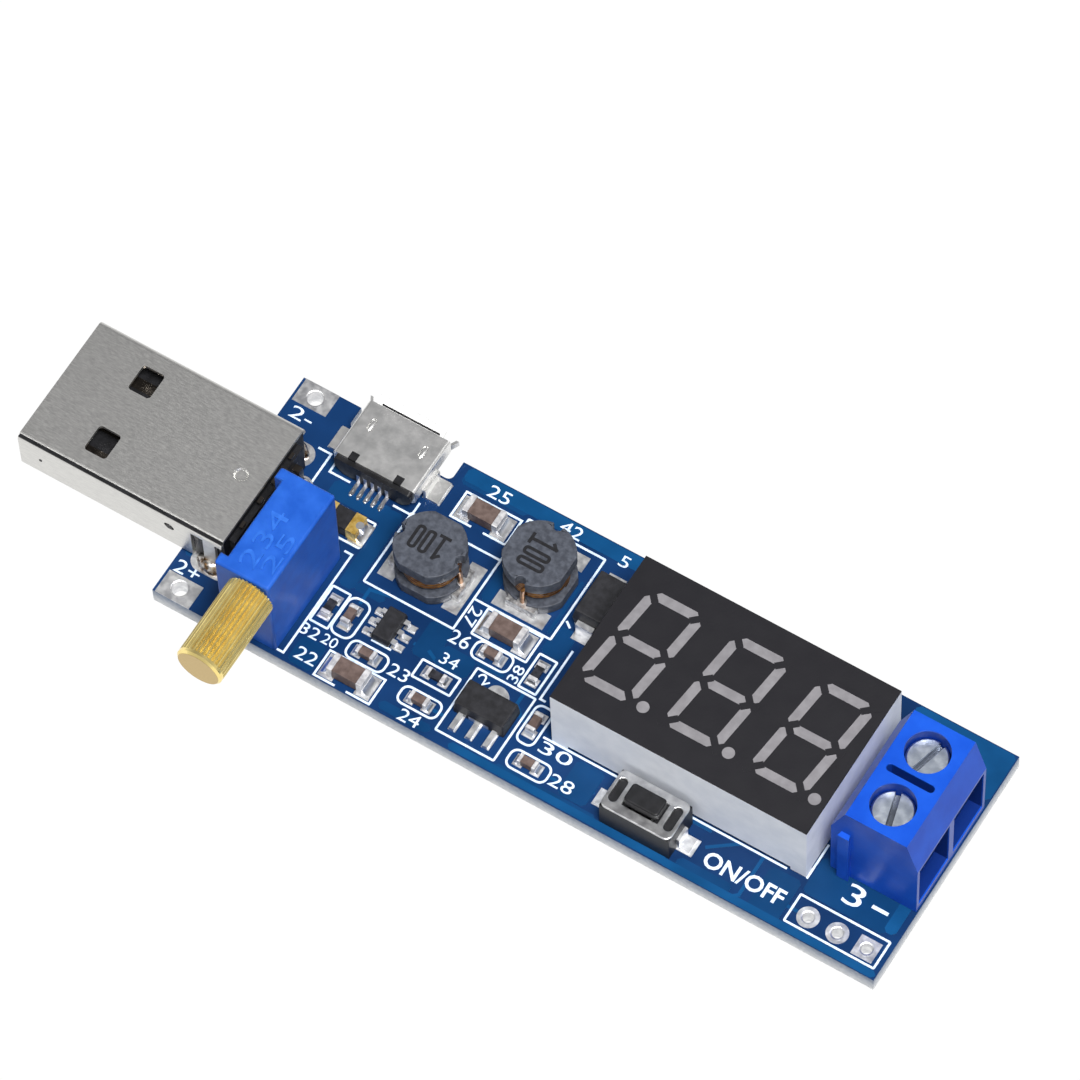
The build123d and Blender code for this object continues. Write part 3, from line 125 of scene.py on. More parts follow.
print("floor at z", 0)

# %% [markdown]
# The light is a bright ring of wall with a calmer ceiling, which is why the plug's side is whiter
# than its top, and two large soft lamps that give the colours their full value from above.

# %% Light
world = bpy.data.worlds.new("room")
bpy.context.scene.world = world
world.use_nodes = True
tree = world.node_tree
tree.nodes.clear()
place = tree.nodes.new("ShaderNodeTexCoord")
parts = tree.nodes.new("ShaderNodeSeparateXYZ")
ramp = tree.nodes.new("ShaderNodeValToRGB")
ramp.color_ramp.elements[0].position = 0.02
ramp.color_ramp.elements[0].color = (0.72, 0.72, 0.73, 1)
ramp.color_ramp.elements[1].position = 0.75
ramp.color_ramp.elements[1].color = (0.18, 0.18, 0.187, 1)
air = tree.nodes.new("ShaderNodeBackground")
rays = tree.nodes.new("ShaderNodeLightPath")
calm = tree.nodes.new("ShaderNodeMapRange")
calm.inputs["To Min"].default_value = 1.0
calm.inputs["To Max"].default_value = 0.4
out = tree.nodes.new("ShaderNodeOutputWorld")
tree.links.new(rays.outputs["Is Diffuse Ray"], calm.inputs["Value"])
tree.links.new(calm.outputs[0], air.inputs["Strength"])
tree.links.new(place.outputs["Generated"], parts.inputs[0])
tree.links.new(parts.outputs["Z"], ramp.inputs[0])
tree.links.new(ramp.outputs[0], air.inputs["Color"])
tree.links.new(air.outputs[0], out.inputs["Surface"])


def soft_lamp(name, place_mm, size_mm, power):
    """A square lamp that looks at the module."""
    data = bpy.data.lights.new(name, "AREA")
    data.size = size_mm * mm
    data.energy = power
    lamp = bpy.data.objects.new(name, data)
    lamp.location = Vector(place_mm) * mm
    lamp.rotation_euler = (-lamp.location).to_track_quat("-Z", "Y").to_euler()
    bpy.context.scene.collection.objects.link(lamp)


soft_lamp("lamp_high", (190, -120, 600), 240, 7.6)
soft_lamp("lamp_left", (-330, -330, 520), 240, 0.6)
bpy.context.scene.view_settings.view_transform = "Standard"

# %% [markdown]
# Every finish reads the piece's own millimetres. One helper gives the common part: a colour that
# drifts between two near tones, a roughness that drifts with it, and a fine unevenness of the
# surface. What is special to a finish is added where that finish is made. The other helpers give a
# finish a second colour beyond a place along an axis, or paint shade into it inside a box.

# %% Finish helpers
finishes = {}
noise_detail = 3
relief_depth = 0.02


def tone(red, green, blue):
    """A colour as it looks on a screen, made linear."""
    shares = (red / 255, green / 255, blue / 255)
    return tuple(((s + 0.055) / 1.055) ** 2.4 if s > 0.04 else s / 12.92 for s in shares) + (1,)


def finish(name, low, high, grain, rough, metal=0.0, bump=0.0, bump_grain=None, stretch=(1, 1, 1)):
    """A finish whose colour and gloss drift. grain and bump_grain are sizes in mm."""
    made = bpy.data.materials.new(name)
    made.use_nodes = True
    tree = made.node_tree
    shader = tree.nodes["Principled BSDF"]
    place = tree.nodes.new("ShaderNodeTexCoord")
    stretched = tree.nodes.new("ShaderNodeMapping")
    stretched.inputs["Scale"].default_value = stretch
    drift = tree.nodes.new("ShaderNodeTexNoise")
    drift.inputs["Scale"].default_value = 1 / (grain * mm)
    drift.inputs["Detail"].default_value = noise_detail
    colours = tree.nodes.new("ShaderNodeValToRGB")
    colours.color_ramp.elements[0].position = 0.35
    colours.color_ramp.elements[0].color = low
    colours.color_ramp.elements[1].position = 0.68
    colours.color_ramp.elements[1].color = high
    gloss = tree.nodes.new("ShaderNodeMapRange")
    gloss.inputs["To Min"].default_value = rough[0]
    gloss.inputs["To Max"].default_value = rough[1]
    tree.links.new(place.outputs["Object"], stretched.inputs["Vector"])
    tree.links.new(stretched.outputs[0], drift.inputs["Vector"])
    tree.links.new(drift.outputs["Fac"], colours.inputs[0])
    tree.links.new(drift.outputs["Fac"], gloss.inputs["Value"])
    tree.links.new(colours.outputs[0], shader.inputs["Base Color"])
    tree.links.new(gloss.outputs[0], shader.inputs["Roughness"])
    shader.inputs["Metallic"].default_value = metal
    shader.inputs["Specular IOR Level"].default_value = 0.5 if metal else 0.3
    if bump:
        waves = tree.nodes.new("ShaderNodeTexNoise")
        waves.inputs["Scale"].default_value = 1 / ((bump_grain or grain) * mm)
        waves.inputs["Detail"].default_value = noise_detail
        relief = tree.nodes.new("ShaderNodeBump")
        relief.inputs["Strength"].default_value = bump
        relief.inputs["Distance"].default_value = relief_depth * mm
        tree.links.new(stretched.outputs[0], waves.inputs["Vector"])
        tree.links.new(waves.outputs["Fac"], relief.inputs["Height"])
        tree.links.new(relief.outputs[0], shader.inputs["Normal"])
    finishes[name] = made
    return made


def frame_parts(tree):
    """The node that gives the three coordinates of a point, in metres in the frame."""
    place = tree.nodes.new("ShaderNodeTexCoord")
    parts = tree.nodes.new("ShaderNodeSeparateXYZ")
    tree.links.new(place.outputs["Object"], parts.inputs[0])
    return parts


def second_colour(tree, share):
    """Mixes a second colour into a finish by a share, and returns the socket where that colour goes."""
    base = tree.nodes["Principled BSDF"].inputs["Base Color"]
    mix = tree.nodes.new("ShaderNodeMix")
    mix.data_type = "RGBA"
    tree.links.new(share, mix.inputs["Factor"])
    tree.links.new(base.links[0].from_socket, mix.inputs["A"])
    tree.links.new(mix.outputs["Result"], base)
    return mix.inputs["B"]


def split_at(made, axis, limit_mm, other, above=True):
    """Gives a finish a second colour on one side of a place along an axis of the frame."""
    tree = made.node_tree
    test = tree.nodes.new("ShaderNodeMath")
    test.operation = "GREATER_THAN" if above else "LESS_THAN"
    test.inputs[1].default_value = limit_mm * mm
    tree.links.new(frame_parts(tree).outputs[axis], test.inputs[0])
    second_colour(tree, test.outputs[0]).default_value = other


def paint_shade_inside(made, low_mm, high_mm, other):
    """Paints shade into a finish: a second, darker colour inside a box of the frame, where a recess lies in
    shade.
    """
    tree = made.node_tree
    parts = frame_parts(tree)
    share = None
    for axis, low, high in zip("XYZ", low_mm, high_mm):
        test = tree.nodes.new("ShaderNodeMath")
        test.operation = "COMPARE"
        test.inputs[1].default_value = (low + high) / 2 * mm
        test.inputs[2].default_value = (high - low) / 2 * mm
        tree.links.new(parts.outputs[axis], test.inputs[0])
        if share:
            both = tree.nodes.new("ShaderNodeMath")
            both.operation = "MULTIPLY"
            tree.links.new(share, both.inputs[0])
            tree.links.new(test.outputs[0], both.inputs[1])
            test = both
        share = test.outputs[0]
    second_colour(tree, share).default_value = other


print("helpers ready")

# %% [markdown]
# The board is glass laminate under a glossy blue mask. The mask lies over copper nearly everywhere,
# and its own sawn edge is bare laminate, pale and dull, bluer near the upper face, so the finish
# changes at the two faces.

# %% Board finishes
mask_relief = {"bump": 0.15, "bump_grain": 0.6}
mask_shine = 0.18
edge_inset = 0.03
weave_grain = 0.35
blue_mask = finish("blue_mask", tone(8, 38, 76), tone(12, 48, 92), 6.0, (0.28, 0.4), **mask_relief)
pour_mask = finish("pour_mask", tone(5, 46, 84), tone(9, 55, 98), 5.0, (0.25, 0.38), **mask_relief)
bright_mask = finish("bright_mask", tone(7, 57, 98), tone(11, 68, 114), 4.0, (0.25, 0.36), **mask_relief)
for made in (blue_mask, pour_mask, bright_mask):
    made.node_tree.nodes["Principled BSDF"].inputs["Specular IOR Level"].default_value = mask_shine
edge_top = board_high.z / mm - edge_inset
edge_bottom = board_low.z / mm + edge_inset
tree = blue_mask.node_tree
place = tree.nodes.new("ShaderNodeTexCoord")
parts = frame_parts(tree)
span = tree.nodes.new("ShaderNodeMath")
span.operation = "COMPARE"
span.inputs[1].default_value = (edge_top + edge_bottom) / 2 * mm
span.inputs[2].default_value = (edge_top - edge_bottom) / 2 * mm
weave = tree.nodes.new("ShaderNodeTexNoise")
weave.inputs["Scale"].default_value = 1 / (weave_grain * mm)
fall = tree.nodes.new("ShaderNodeMapRange")
fall.inputs["From Min"].default_value = edge_top * mm
fall.inputs["From Max"].default_value = edge_bottom * mm
fall.inputs["To Max"].default_value = 0.75
blend = tree.nodes.new("ShaderNodeMath")
blend.operation = "MULTIPLY_ADD"
blend.inputs[1].default_value = 0.4
laminate = tree.nodes.new("ShaderNodeValToRGB")
laminate.color_ramp.elements[0].position = 0.1
laminate.color_ramp.elements[0].color = tone(86, 110, 144)
laminate.color_ramp.elements[1].color = tone(247, 249, 251)
tree.links.new(place.outputs["Object"], weave.inputs["Vector"])
tree.links.new(weave.outputs["Fac"], blend.inputs[0])
tree.links.new(parts.outputs["Z"], fall.inputs["Value"])
tree.links.new(fall.outputs[0], blend.inputs[2])
tree.links.new(blend.outputs[0], laminate.inputs[0])
tree.links.new(parts.outputs["Z"], span.inputs[0])
tree.links.new(laminate.outputs[0], second_colour(tree, span.outputs[0]))
print("board finishes ready")

# %% [markdown]
# The metals differ more in how they were worked than in colour: drawn and brushed sheet for the
# plug, bright tin on the socket, dipped solder with its slow waves on the pads, turned brass,
# plated steel.

# %% Metal finishes
brushed = (1, 6, 6)
finish("nickel_shell", tone(208, 207, 204), tone(221, 220, 216), 0.5, (0.3, 0.42), 1.0, 0.25, 0.12, brushed)
finish("tin_shell", tone(228, 228, 226), tone(240, 239, 237), 0.9, (0.3, 0.42), 1.0, 0.3, 0.25)
finish("tinned_copper", tone(206, 207, 210), tone(244, 244, 244), 0.6, (0.3, 0.46), 1.0, 0.5, 0.4)
finish("rough_solder", tone(128, 127, 128), tone(206, 206, 206), 0.35, (0.36, 0.55), 1.0, 0.7, 0.2)
finish("flux_solder", tone(112, 84, 54), tone(232, 230, 226), 0.4, (0.2, 0.36), 1.0, 0.6, 0.3)
finish("solder", tone(228, 229, 232), tone(244, 244, 244), 0.6, (0.24, 0.38), 1.0, 0.35, 0.4)
finish("knurled_brass", tone(250, 224, 140), tone(255, 234, 158), 1.2, (0.15, 0.22), 0.9)
finish("gold_plate", tone(206, 164, 72), tone(238, 206, 124), 0.4, (0.3, 0.42), 0.8, 0.4, 0.2)
finish("spring_steel", tone(176, 176, 178), tone(206, 206, 206), 0.6, (0.26, 0.4), 1.0, 0.3, 0.15)
for name in ("screw_steel", "slotted_steel"):
    finish(name, tone(204, 215, 230), tone(226, 234, 244), 0.6, (0.24, 0.42), 1.0, 0.4, 0.2)
finish("plated_contacts", tone(204, 205, 210), tone(230, 230, 233), 0.6, (0.24, 0.36), 1.0, 0.2, 0.2)
finish("matte_tin", tone(176, 175, 178), tone(216, 215, 215), 0.35, (0.5, 0.64), 0.9, 0.25, 0.2)
wire = finish("copper_wire", tone(104, 65, 28), tone(162, 110, 50), 0.5, (0.3, 0.42), 0.85, 0.2, 0.2)
enamel = wire.node_tree.nodes["Principled BSDF"].inputs
enamel["Coat Weight"].default_value = 0.4
enamel["Coat Roughness"].default_value = 0.12
contact_shade_x = board_low.x / mm + 6
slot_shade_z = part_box("terminal_screw_1")[1].z / mm - 0.25
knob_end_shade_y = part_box("trimmer_adjusting_screw")[0].y / mm + 0.02
# Painted shade: the contacts inside the plug's shell take a dark colour that stands in for the shade there.
split_at(finishes["plated_contacts"], "X", contact_shade_x, tone(92, 86, 80), above=False)
# Painted shade: the screws take a darker steel a little below their tops, standing in for the shade in
# their slots and round their heads.
split_at(finishes["slotted_steel"], "Z", slot_shade_z, tone(128, 134, 145), above=False)
# Painted shade: the knob's end face takes a darker brass than its sides, standing in for the dimmer light
# it gives back.
split_at(finishes["knurled_brass"], "Y", knob_end_shade_y, tone(196, 168, 106), above=False)
print("metals ready")

# %% [markdown]
# The plastics and ceramics: moulded blue with the faint ripple that a mould leaves, black
# glass-filled plastic, ferrite ground dull, fired ceramic and epoxy chips. The terminal has painted
# shade, a darker blue, deep in its recesses, and the display's grey housing has a black face.

# %% Plastic and ceramic finishes
finish("terminal_blue", tone(17, 66, 168), tone(24, 78, 184), 3.0, (0.26, 0.36), 0.0, 0.25, 0.5)
finish("trimmer_blue", tone(24, 74, 162), tone(35, 87, 178), 1.5, (0.38, 0.5), 0.0, 0.3, 0.2)
finish("black_plastic", tone(14, 14, 16), tone(26, 26, 29), 0.8, (0.38, 0.52), 0.0, 0.3, 0.2)
finish("chip_plastic", tone(22, 22, 25), tone(34, 34, 38), 0.5, (0.42, 0.58), 0.0, 0.5, 0.1)
finish("ferrite", tone(50, 53, 61), tone(72, 76, 85), 0.4, (0.48, 0.62), 0.0, 0.9, 0.12)
finish("capacitor_ceramic", tone(78, 64, 59), tone(98, 83, 78), 0.5, (0.4, 0.55), 0.0, 0.4, 0.15)
finish("resistor_body", tone(26, 26, 30), tone(48, 48, 54), 0.4, (0.3, 0.45), 0.0, 0.3, 0.2)
finish("display_laminate", tone(70, 96, 60), tone(92, 118, 76), 1.0, (0.45, 0.6), 0.0, 0.3, 0.3)
finish("segment_resin", tone(111, 109, 112), tone(122, 120, 123), 0.7, (0.4, 0.5), 0.0, 0.1, 0.3)
finish("rubber", tone(30, 30, 30), tone(44, 44, 44), 0.6, (0.6, 0.75), 0.0, 0.4, 0.2)
finish("resin", tone(30, 70, 150), tone(44, 88, 168), 1.0, (0.25, 0.4), 0.0, 0.4, 0.5)
finish("ceramic_white", tone(206, 204, 198), tone(228, 226, 220), 0.6, (0.5, 0.65), 0.0, 0.3, 0.2)
for name in ("terminal_blue", "trimmer_blue"):
    shader = finishes[name].node_tree.nodes["Principled BSDF"]
    shader.inputs["Specular IOR Level"].default_value = 0.16
    shader.inputs["Subsurface Weight"].default_value = 0.08
    shader.inputs["Subsurface Radius"].default_value = (0.2 * mm, 0.3 * mm, 0.8 * mm)
terminal_low, terminal_high = [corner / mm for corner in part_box("terminal_housing")]
recess_back = terminal_low.x + 1.6
recess_near = terminal_low.y + 0.64
recess_far = terminal_high.y - 0.15
recess_top = terminal_high.z - 3.5
recess_low = (recess_back, recess_near, terminal_low.z + 0.2)
recess_high = (terminal_high.x - 0.12, recess_far, recess_top)
# Painted shade: the wire openings and the recesses above them take a darker blue that stands in for the
# shade inside them.
paint_shade_inside(finishes["terminal_blue"], recess_low, recess_high, tone(10, 38, 104))
groove_low = (recess_back, recess_near, recess_top)
groove_high = (terminal_high.x - 1.15, recess_far, terminal_high.z - 0.15)
paint_shade_inside(finishes["terminal_blue"], groove_low, groove_high, tone(11, 42, 118))
black_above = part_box("display_housing")[1].z / mm - 0.06
pale, paler = tone(222, 227, 236), tone(234, 238, 245)
display_grey = finish("display_grey", pale, paler, 1.6, (0.42, 0.55), 0.0, 0.3, 0.2)
split_at(display_grey, "Z", black_above, tone(17, 16, 21))
ink_white = finish("ink_white", tone(184, 202, 222), tone(212, 222, 234), 0.4, (0.5, 0.62), 0.0, 0.5, 0.12)
# Painted highlight: the trimmer's raised figures are its blue made lighter, standing in for the light their
# edges catch.
trimmer_figure_highlight = finish("trimmer_figure_highlight", tone(32, 84, 172), tone(46, 102, 192), 0.8, (0.3, 0.4), 0.0, 0.3, 0.2)
ink_black = finish("ink_black", tone(10, 10, 13), tone(22, 22, 27), 0.3, (0.5, 0.6), 0.0, 0.4, 0.1)
print(len(finishes), "finishes")

# %% [markdown]
# The solids keep their shapes and take these finishes by the slot that each has in the record. The
# board alone is given the two-faced mask, and a few solids that look unlike the rest of their slot
# have a finish of their own.

# %% Dress the solids
worn = {**finishes, "blue_board": blue_mask}
for name, node in nodes.items():
    slot_name = node.data.materials[0].name.split(".")[0]
    node.material_slots[0].material = worn[slot_name]
own_finishes = {
    "inductor_1_ends": "rough_solder",
    "inductor_2_ends": "rough_solder",
    "large_capacitors_ends": "matte_tin",
    "small_capacitors_ends": "matte_tin",
    "resistors_ends": "matte_tin",
    "terminal_screw_1": "slotted_steel",
    "terminal_screw_2": "slotted_steel",
}
for name, finish_name in own_finishes.items():
    nodes[name].material_slots[0].material = finishes[finish_name]
print(len(nodes), "solids dressed")

# %% [markdown]
# No moulded or stamped edge is perfectly sharp. The solids' faces are loose, so a weld closes them
# first, and a small bevel then catches the light along each edge. The mesh itself stays as it was
# packed.

# %% Soften edges
weld_reach = 0.001
edge_sizes = {
    "terminal_housing": 0.12,
    "trimmer_housing": 0.12,
    "display_housing": 0.1,
    "switch_body": 0.08,
    "switch_cover": 0.05,
    "usb_plug_insulator": 0.08,
    "micro_usb_insulator": 0.05,
    "converter_chip": 0.07,
    "regulator_body": 0.09,
    "diode_body": 0.09,
    "meter_chip": 0.08,
    "inductor_1_core": 0.08,
    "inductor_2_core": 0.08,
    "large_capacitors": 0.06,
    "large_capacitors_ends": 0.1,
    "small_capacitors": 0.04,
    "small_capacitors_ends": 0.08,
    "resistors": 0.03,
    "resistors_ends": 0.05,
    "terminal_screw_1": 0.05,
    "terminal_screw_2": 0.05,
    "terminal_cage_1": 0.08,
    "terminal_cage_2": 0.08,
}


def soften(node, size):
    """Welds a solid's faces and rounds its edges, as modifiers."""
    weld = node.modifiers.new("weld", "WELD")
    weld.merge_threshold = weld_reach * mm
    bevel = node.modifiers.new("soft_edges", "BEVEL")
    bevel.width = size * mm
    bevel.segments = 2
    bevel.limit_method = "ANGLE"
    bevel.angle_limit = math.radians(35)


for name, size in edge_sizes.items():
    soften(nodes[name], size)
print(len(edge_sizes), "solids softened")

# %% [markdown]
# New pieces are built in a bmesh, turned into one mesh with its place in it, and ride on the body
# they belong to. The first helper does that last step the same way each time. The others turn a
# text or a curve into a mesh, add a mesh to a shape, and make blocks and rods.

# %% Piece helpers
def piece(name, shape, made, body="root", smooth_angle=40):
    """Turns a bmesh into a finished piece that rides on a body."""
    bmesh.ops.recalc_face_normals(shape, faces=shape.faces)
    mesh = bpy.data.meshes.new(name)
    shape.to_mesh(mesh)
    shape.free()
    mesh.materials.append(made)
    obj = bpy.data.objects.new(name, mesh)
    bpy.context.scene.collection.objects.link(obj)
    if smooth_angle:
        mesh.shade_smooth()
        mesh.set_sharp_from_angle(angle=math.radians(smooth_angle))
    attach(obj, body)
    print(name, len(mesh.polygons), "faces")
    return obj


def mesh_of(curve):
    """The mesh that a text or a curve makes. The curve is taken away."""
    holder = bpy.data.objects.new(curve.name, curve)
    bpy.context.scene.collection.objects.link(holder)
    bpy.context.view_layer.update()
    held = bpy.data.meshes.new_from_object(holder.evaluated_get(bpy.context.evaluated_depsgraph_get()))
    bpy.data.objects.remove(holder)
    bpy.data.curves.remove(curve)
    return held


def take_in(shape, held):
    """Adds a mesh to a shape. The mesh is taken away."""
    shape.from_mesh(held)
    bpy.data.meshes.remove(held)


def block(shape, middle, size):
    """A block of a size in millimetres about a point of the frame."""
    stretch = Matrix.Diagonal((*(side * mm for side in size), 1))
    bmesh.ops.create_cube(shape, size=1.0, matrix=Matrix.Translation(middle) @ stretch)


def rod(shape, place, radius, length, segments):
    """A closed rod along the z axis of its place, in millimetres."""
    bmesh.ops.create_cone(
        shape,
        cap_ends=True,
        segments=segments,
        radius1=radius * mm,
        radius2=radius * mm,
        depth=length * mm,
        matrix=place,
    )


# %% [markdown]
# Under the mask lie copper areas and tracks, which show as a lighter, slightly raised blue, and the
# gaps between them show dark. Each area is a flat face with its corners cut, raised by the
# thickness of the foil. Areas may cross, so each one is a hair higher than the one before.

# %% Copper under the mask
foil = 0.02
base_z = -0.01
area_corner = 0.3
corner_share = 0.4
area_lift = 0.0005


def corner_face(shape, x0, y0, x1, y1, corner, steps, height):
    """A flat face over the board, its corners cut or rounded."""
    places = ((x0, y0), (x1, y0), (x1, y1), (x0, y1))
    verts = [shape.verts.new(on_board(x, y, height)) for x, y in places]
    shape.faces.new(verts)
    bmesh.ops.bevel(
        shape, geom=verts, offset=corner * mm, segments=steps, profile=0.5, affect="VERTICES", material=-1
    )


def raise_faces(shape, faces, rise):
    """Makes flat faces into solids of a height in millimetres."""
    grown = bmesh.ops.extrude_face_region(shape, geom=faces)
    tops = [g for g in grown["geom"] if isinstance(g, bmesh.types.BMVert)]
    bmesh.ops.translate(shape, verts=tops, vec=(0, 0, rise * mm))


def raised_area(shape, x0, y0, x1, y1, height):
    """An area of the board with cut corners."""
    before = set(shape.faces)
    corner = min(area_corner, corner_share * min(x1 - x0, y1 - y0))
    corner_face(shape, x0, y0, x1, y1, corner, 1, base_z)
    raise_faces(shape, [f for f in shape.faces if f not in before], height - base_z)


pours = [
    (0.25, 13.9, 3.4, 17.0),
    (7.0, 13.9, 12.3, 15.5),
    (5.9, 16.0, 7.0, 20.4),
    (15.4, 20.1, 21.4, 21.6),
    (0.3, 3.9, 3.9, 5.6),
    (11.95, 7.8, 13.3, 15.4),
    (13.2, 8.0, 15.9, 8.75),
    (12.1, 0.2, 14.3, 2.7),
    (19.9, 5.6, 21.9, 8.9),
    (20.2, 0.3, 24.8, 1.1),
    (24.8, 7.3, 27.2, 7.7),
    (21.9, 5.7, 24.8, 7.6),
    (30.5, 0.3, 39.5, 1.0),
    (35.8, 1.1, 38.3, 4.4),
    (46.6, 0.5, 51.3, 1.4),
    (53.0, 0.3, 55.7, 4.3),
    (56.0, 3.6, 63.2, 7.0),
    (28.4, 10.8, 30.3, 13.5),
    (22.0, 12.3, 22.9, 16.5),
    (28.0, 12.4, 28.3, 17.6),
]
shape = bmesh.new()
for step, area in enumerate(pours):
    raised_area(shape, *area, foil + step * area_lift)
piece("copper_areas", shape, pour_mask, smooth_angle=0)
bright_pours = [
    (15.4, 20.45, 33.2, 21.7),
    (26.6, 0.1, 46.0, 0.75),
    (62.9, 3.9, 63.9, 7.0),
    (45.6, 0.06, 64.3, 0.7),
    (55.6, 17.3, 64.3, 21.7),
]
shape = bmesh.new()
for step, area in enumerate(bright_pours):
    raised_area(shape, *area, foil + (step + len(pours) + 2) * area_lift)
piece("bright_copper_areas", shape, bright_mask, smooth_angle=0)

# %% [markdown]
# Tracks are the same foil drawn as lines. A line is a chain of thin bars, each a cube stretched
# along its run, and the printed marks that come next are drawn with the same helper.

# %% Tracks
bar_lift = 0.0006
bar_overlap = 0.98


def bar_chain(shape, points, width, low, high):
    """Thin bars along a run of board points, overlapping at the turns."""
    for (x0, y0), (x1, y1) in zip(points, points[1:]):
        run = math.hypot(x1 - x0, y1 - y0)
        high += bar_lift
        made = bmesh.ops.create_cube(shape, size=1.0)
        stretch = Matrix.Diagonal(((run + width * bar_overlap) * mm, width * mm, (high - low) * mm, 1))
        turn = Matrix.Rotation(math.atan2(y1 - y0, x1 - x0), 4, "Z")
        middle = Matrix.Translation(on_board((x0 + x1) / 2, (y0 + y1) / 2, (low + high) / 2))
        bmesh.ops.transform(shape, matrix=middle @ turn @ stretch, verts=made["verts"])


tracks = [
    [(46.3, 0.4), (51.5, 0.4), (52.1, 0.9), (52.1, 4.5)],
    [(48.0, 3.1), (50.0, 4.6)],
    [(46.0, 4.4), (47.5, 4.4)],
    [(19.9, 6.4), (21.2, 6.4), (22.2, 5.9)],
    [(14.4, 7.3), (14.4, 8.6), (16.0, 8.9)],
    [(29.3, 7.2), (29.3, 6.0), (30.4, 5.0)],
    [(34.6, 2.0), (37.5, 2.0), (38.2, 2.6)],
    [(55.4, 2.0), (56.8, 2.0)],
    [(24.2, 2.3), (25.0, 2.3)],
    [(5.4, 9.0), (5.4, 12.6), (6.0, 13.4)],
]
track_width = 0.28
track_lift = 0.0004
shape = bmesh.new()
for step, run in enumerate(tracks):
    bar_chain(shape, run, track_width, base_z, foil + 0.002 + step * track_lift)
piece("tracks", shape, bright_mask, smooth_angle=0)

# %% [markdown]
# The white marks are ink pressed through a screen: frames round the parts, and their numbers. A
# frame is a face with rounded corners, inset by the width of the line, its middle taken out and the
# ring raised. Open marks are bar chains.

# %% Printed frames and lines
ink_top = 0.035
ink_line = 0.18
frame_lift = 0.0006
open_lift = 0.0002
round_share = 0.36


def ink_ring(shape, x0, y0, x1, y1, corner=0.05, steps=2, base=base_z, top=ink_top, line=ink_line):
    """A printed frame round a part, its line centred on the sizes given."""
    half = line / 2
    ring = bmesh.new()
    corner_face(ring, x0 - half, y0 - half, x1 + half, y1 + half, corner + half, steps, base)
    middle = list(ring.faces)
    bmesh.ops.inset_region(ring, faces=middle, thickness=line * mm, use_even_offset=True, use_boundary=True)
    bmesh.ops.delete(ring, geom=middle, context="FACES")
    raise_faces(ring, list(ring.faces), top - base)
    held = bpy.data.meshes.new("ring")
    ring.to_mesh(held)
    ring.free()
    take_in(shape, held)


square_frames = [
    (7.4, 11.2, 11.75, 13.65),
    (23.1, 9.4, 28.0, 11.9),
    (25.1, 1.0, 30.3, 7.1),
    (11.8, 4.05, 13.4, 7.45),
    (21.1, 3.95, 24.5, 5.6),
    (28.55, 7.4, 30.1, 10.6),
    (56.1, 0.85, 63.9, 3.35),
    (13.6, 9.0, 21.7, 15.9),
    (21.7, 12.05, 28.6, 20.1),
]
round_frames = [
    (13.5, 4.0, 15.4, 7.5),
    (15.6, 2.8, 19.0, 4.4),
    (21.1, 1.55, 24.6, 3.1),
    (23.9, 7.7, 27.2, 9.3),
    (31.1, 1.15, 34.6, 2.8),
    (30.7, 3.4, 32.2, 6.9),
]
open_marks = [
    [(18.1, 17.25), (16.3, 17.25), (16.3, 19.7), (21.3, 19.7), (21.3, 17.25), (19.35, 17.25)],
    [(16.4, 0.2), (14.6, 0.2), (14.6, 2.6), (19.6, 2.6), (19.6, 0.2), (17.6, 0.2)],
    [(4.4, 17.1), (5.5, 17.1), (5.5, 14.3)],
    [(0.0, 4.75), (0.6, 4.75)],
    [(6.2, 16.8), (6.2, 15.75), (8.0, 15.75)],
    [(12.1, 15.75), (13.7, 15.75), (13.7, 16.9)],
    [(11.0, 10.45), (11.6, 10.45), (11.6, 0.6), (11.1, 0.6)],
    [(16.9, 5.0), (18.5, 5.0)],
    [(29.5, 14.3), (30.7, 14.3)],
    [(28.9, 14.0), (29.3, 13.7)],
    [(32.6, 4.65), (54.0, 4.65)],
    [(31.0, 7.3), (30.6, 7.3), (30.6, 12.0)],
    [(55.8, 4.8), (55.8, 7.9)],
    [(39.9, 0.55), (46.1, 0.55)],
]
round_top = ink_top + (len(square_frames) + 1) * frame_lift
shape = bmesh.new()
for step, area in enumerate(square_frames):
    ink_ring(shape, *area, top=ink_top + step * frame_lift)
for step, (x0, y0, x1, y1) in enumerate(round_frames):
    corner = min(x1 - x0, y1 - y0) * round_share
    ink_ring(shape, x0, y0, x1, y1, corner, steps=5, top=round_top + step * frame_lift)
for step, run in enumerate(open_marks):
    bar_chain(shape, run, ink_line, base_z, ink_top - 0.008 + step * open_lift)
piece("printed_lines", shape, ink_white, smooth_angle=0)

# %% [markdown]
# Numbers beside the parts are drawn as text, made a mesh, and fitted into the small box that the
# mark fills on the board. They are plain counting numbers and signs, and the switch has its ON and
# OFF.

# %% Printed numbers
def marks_on(shape, words, box_mm, height, thickness, turn=0, weight=0.0):
    """Text fitted into a box of board millimetres, turned in degrees about its middle."""
    letters = bpy.data.curves.new("letters", "FONT")
    letters.body = words
    letters.size = 1.0
    letters.extrude = 0.5
    letters.offset = weight
    letters.resolution_u = 3
    held = mesh_of(letters)
    low = Vector([min(v.co[i] for v in held.vertices) for i in range(3)])
    high = Vector([max(v.co[i] for v in held.vertices) for i in range(3)])
    x0, y0, x1, y1 = box_mm
    wide, tall = (x1 - x0, y1 - y0) if turn == 0 else (y1 - y0, x1 - x0)
    wide_share = wide / (high.x - low.x)
    tall_share = tall / (high.y - low.y)
    stretch = Matrix.Diagonal((wide_share * mm, tall_share * mm, thickness * mm, 1))
    centred = Matrix.Translation(-(low + high) / 2)
    turned = Matrix.Rotation(math.radians(turn), 4, "Z")
    placed = Matrix.Translation(on_board((x0 + x1) / 2, (y0 + y1) / 2, height))
    held.transform(placed @ turned @ stretch @ centred)
    take_in(shape, held)


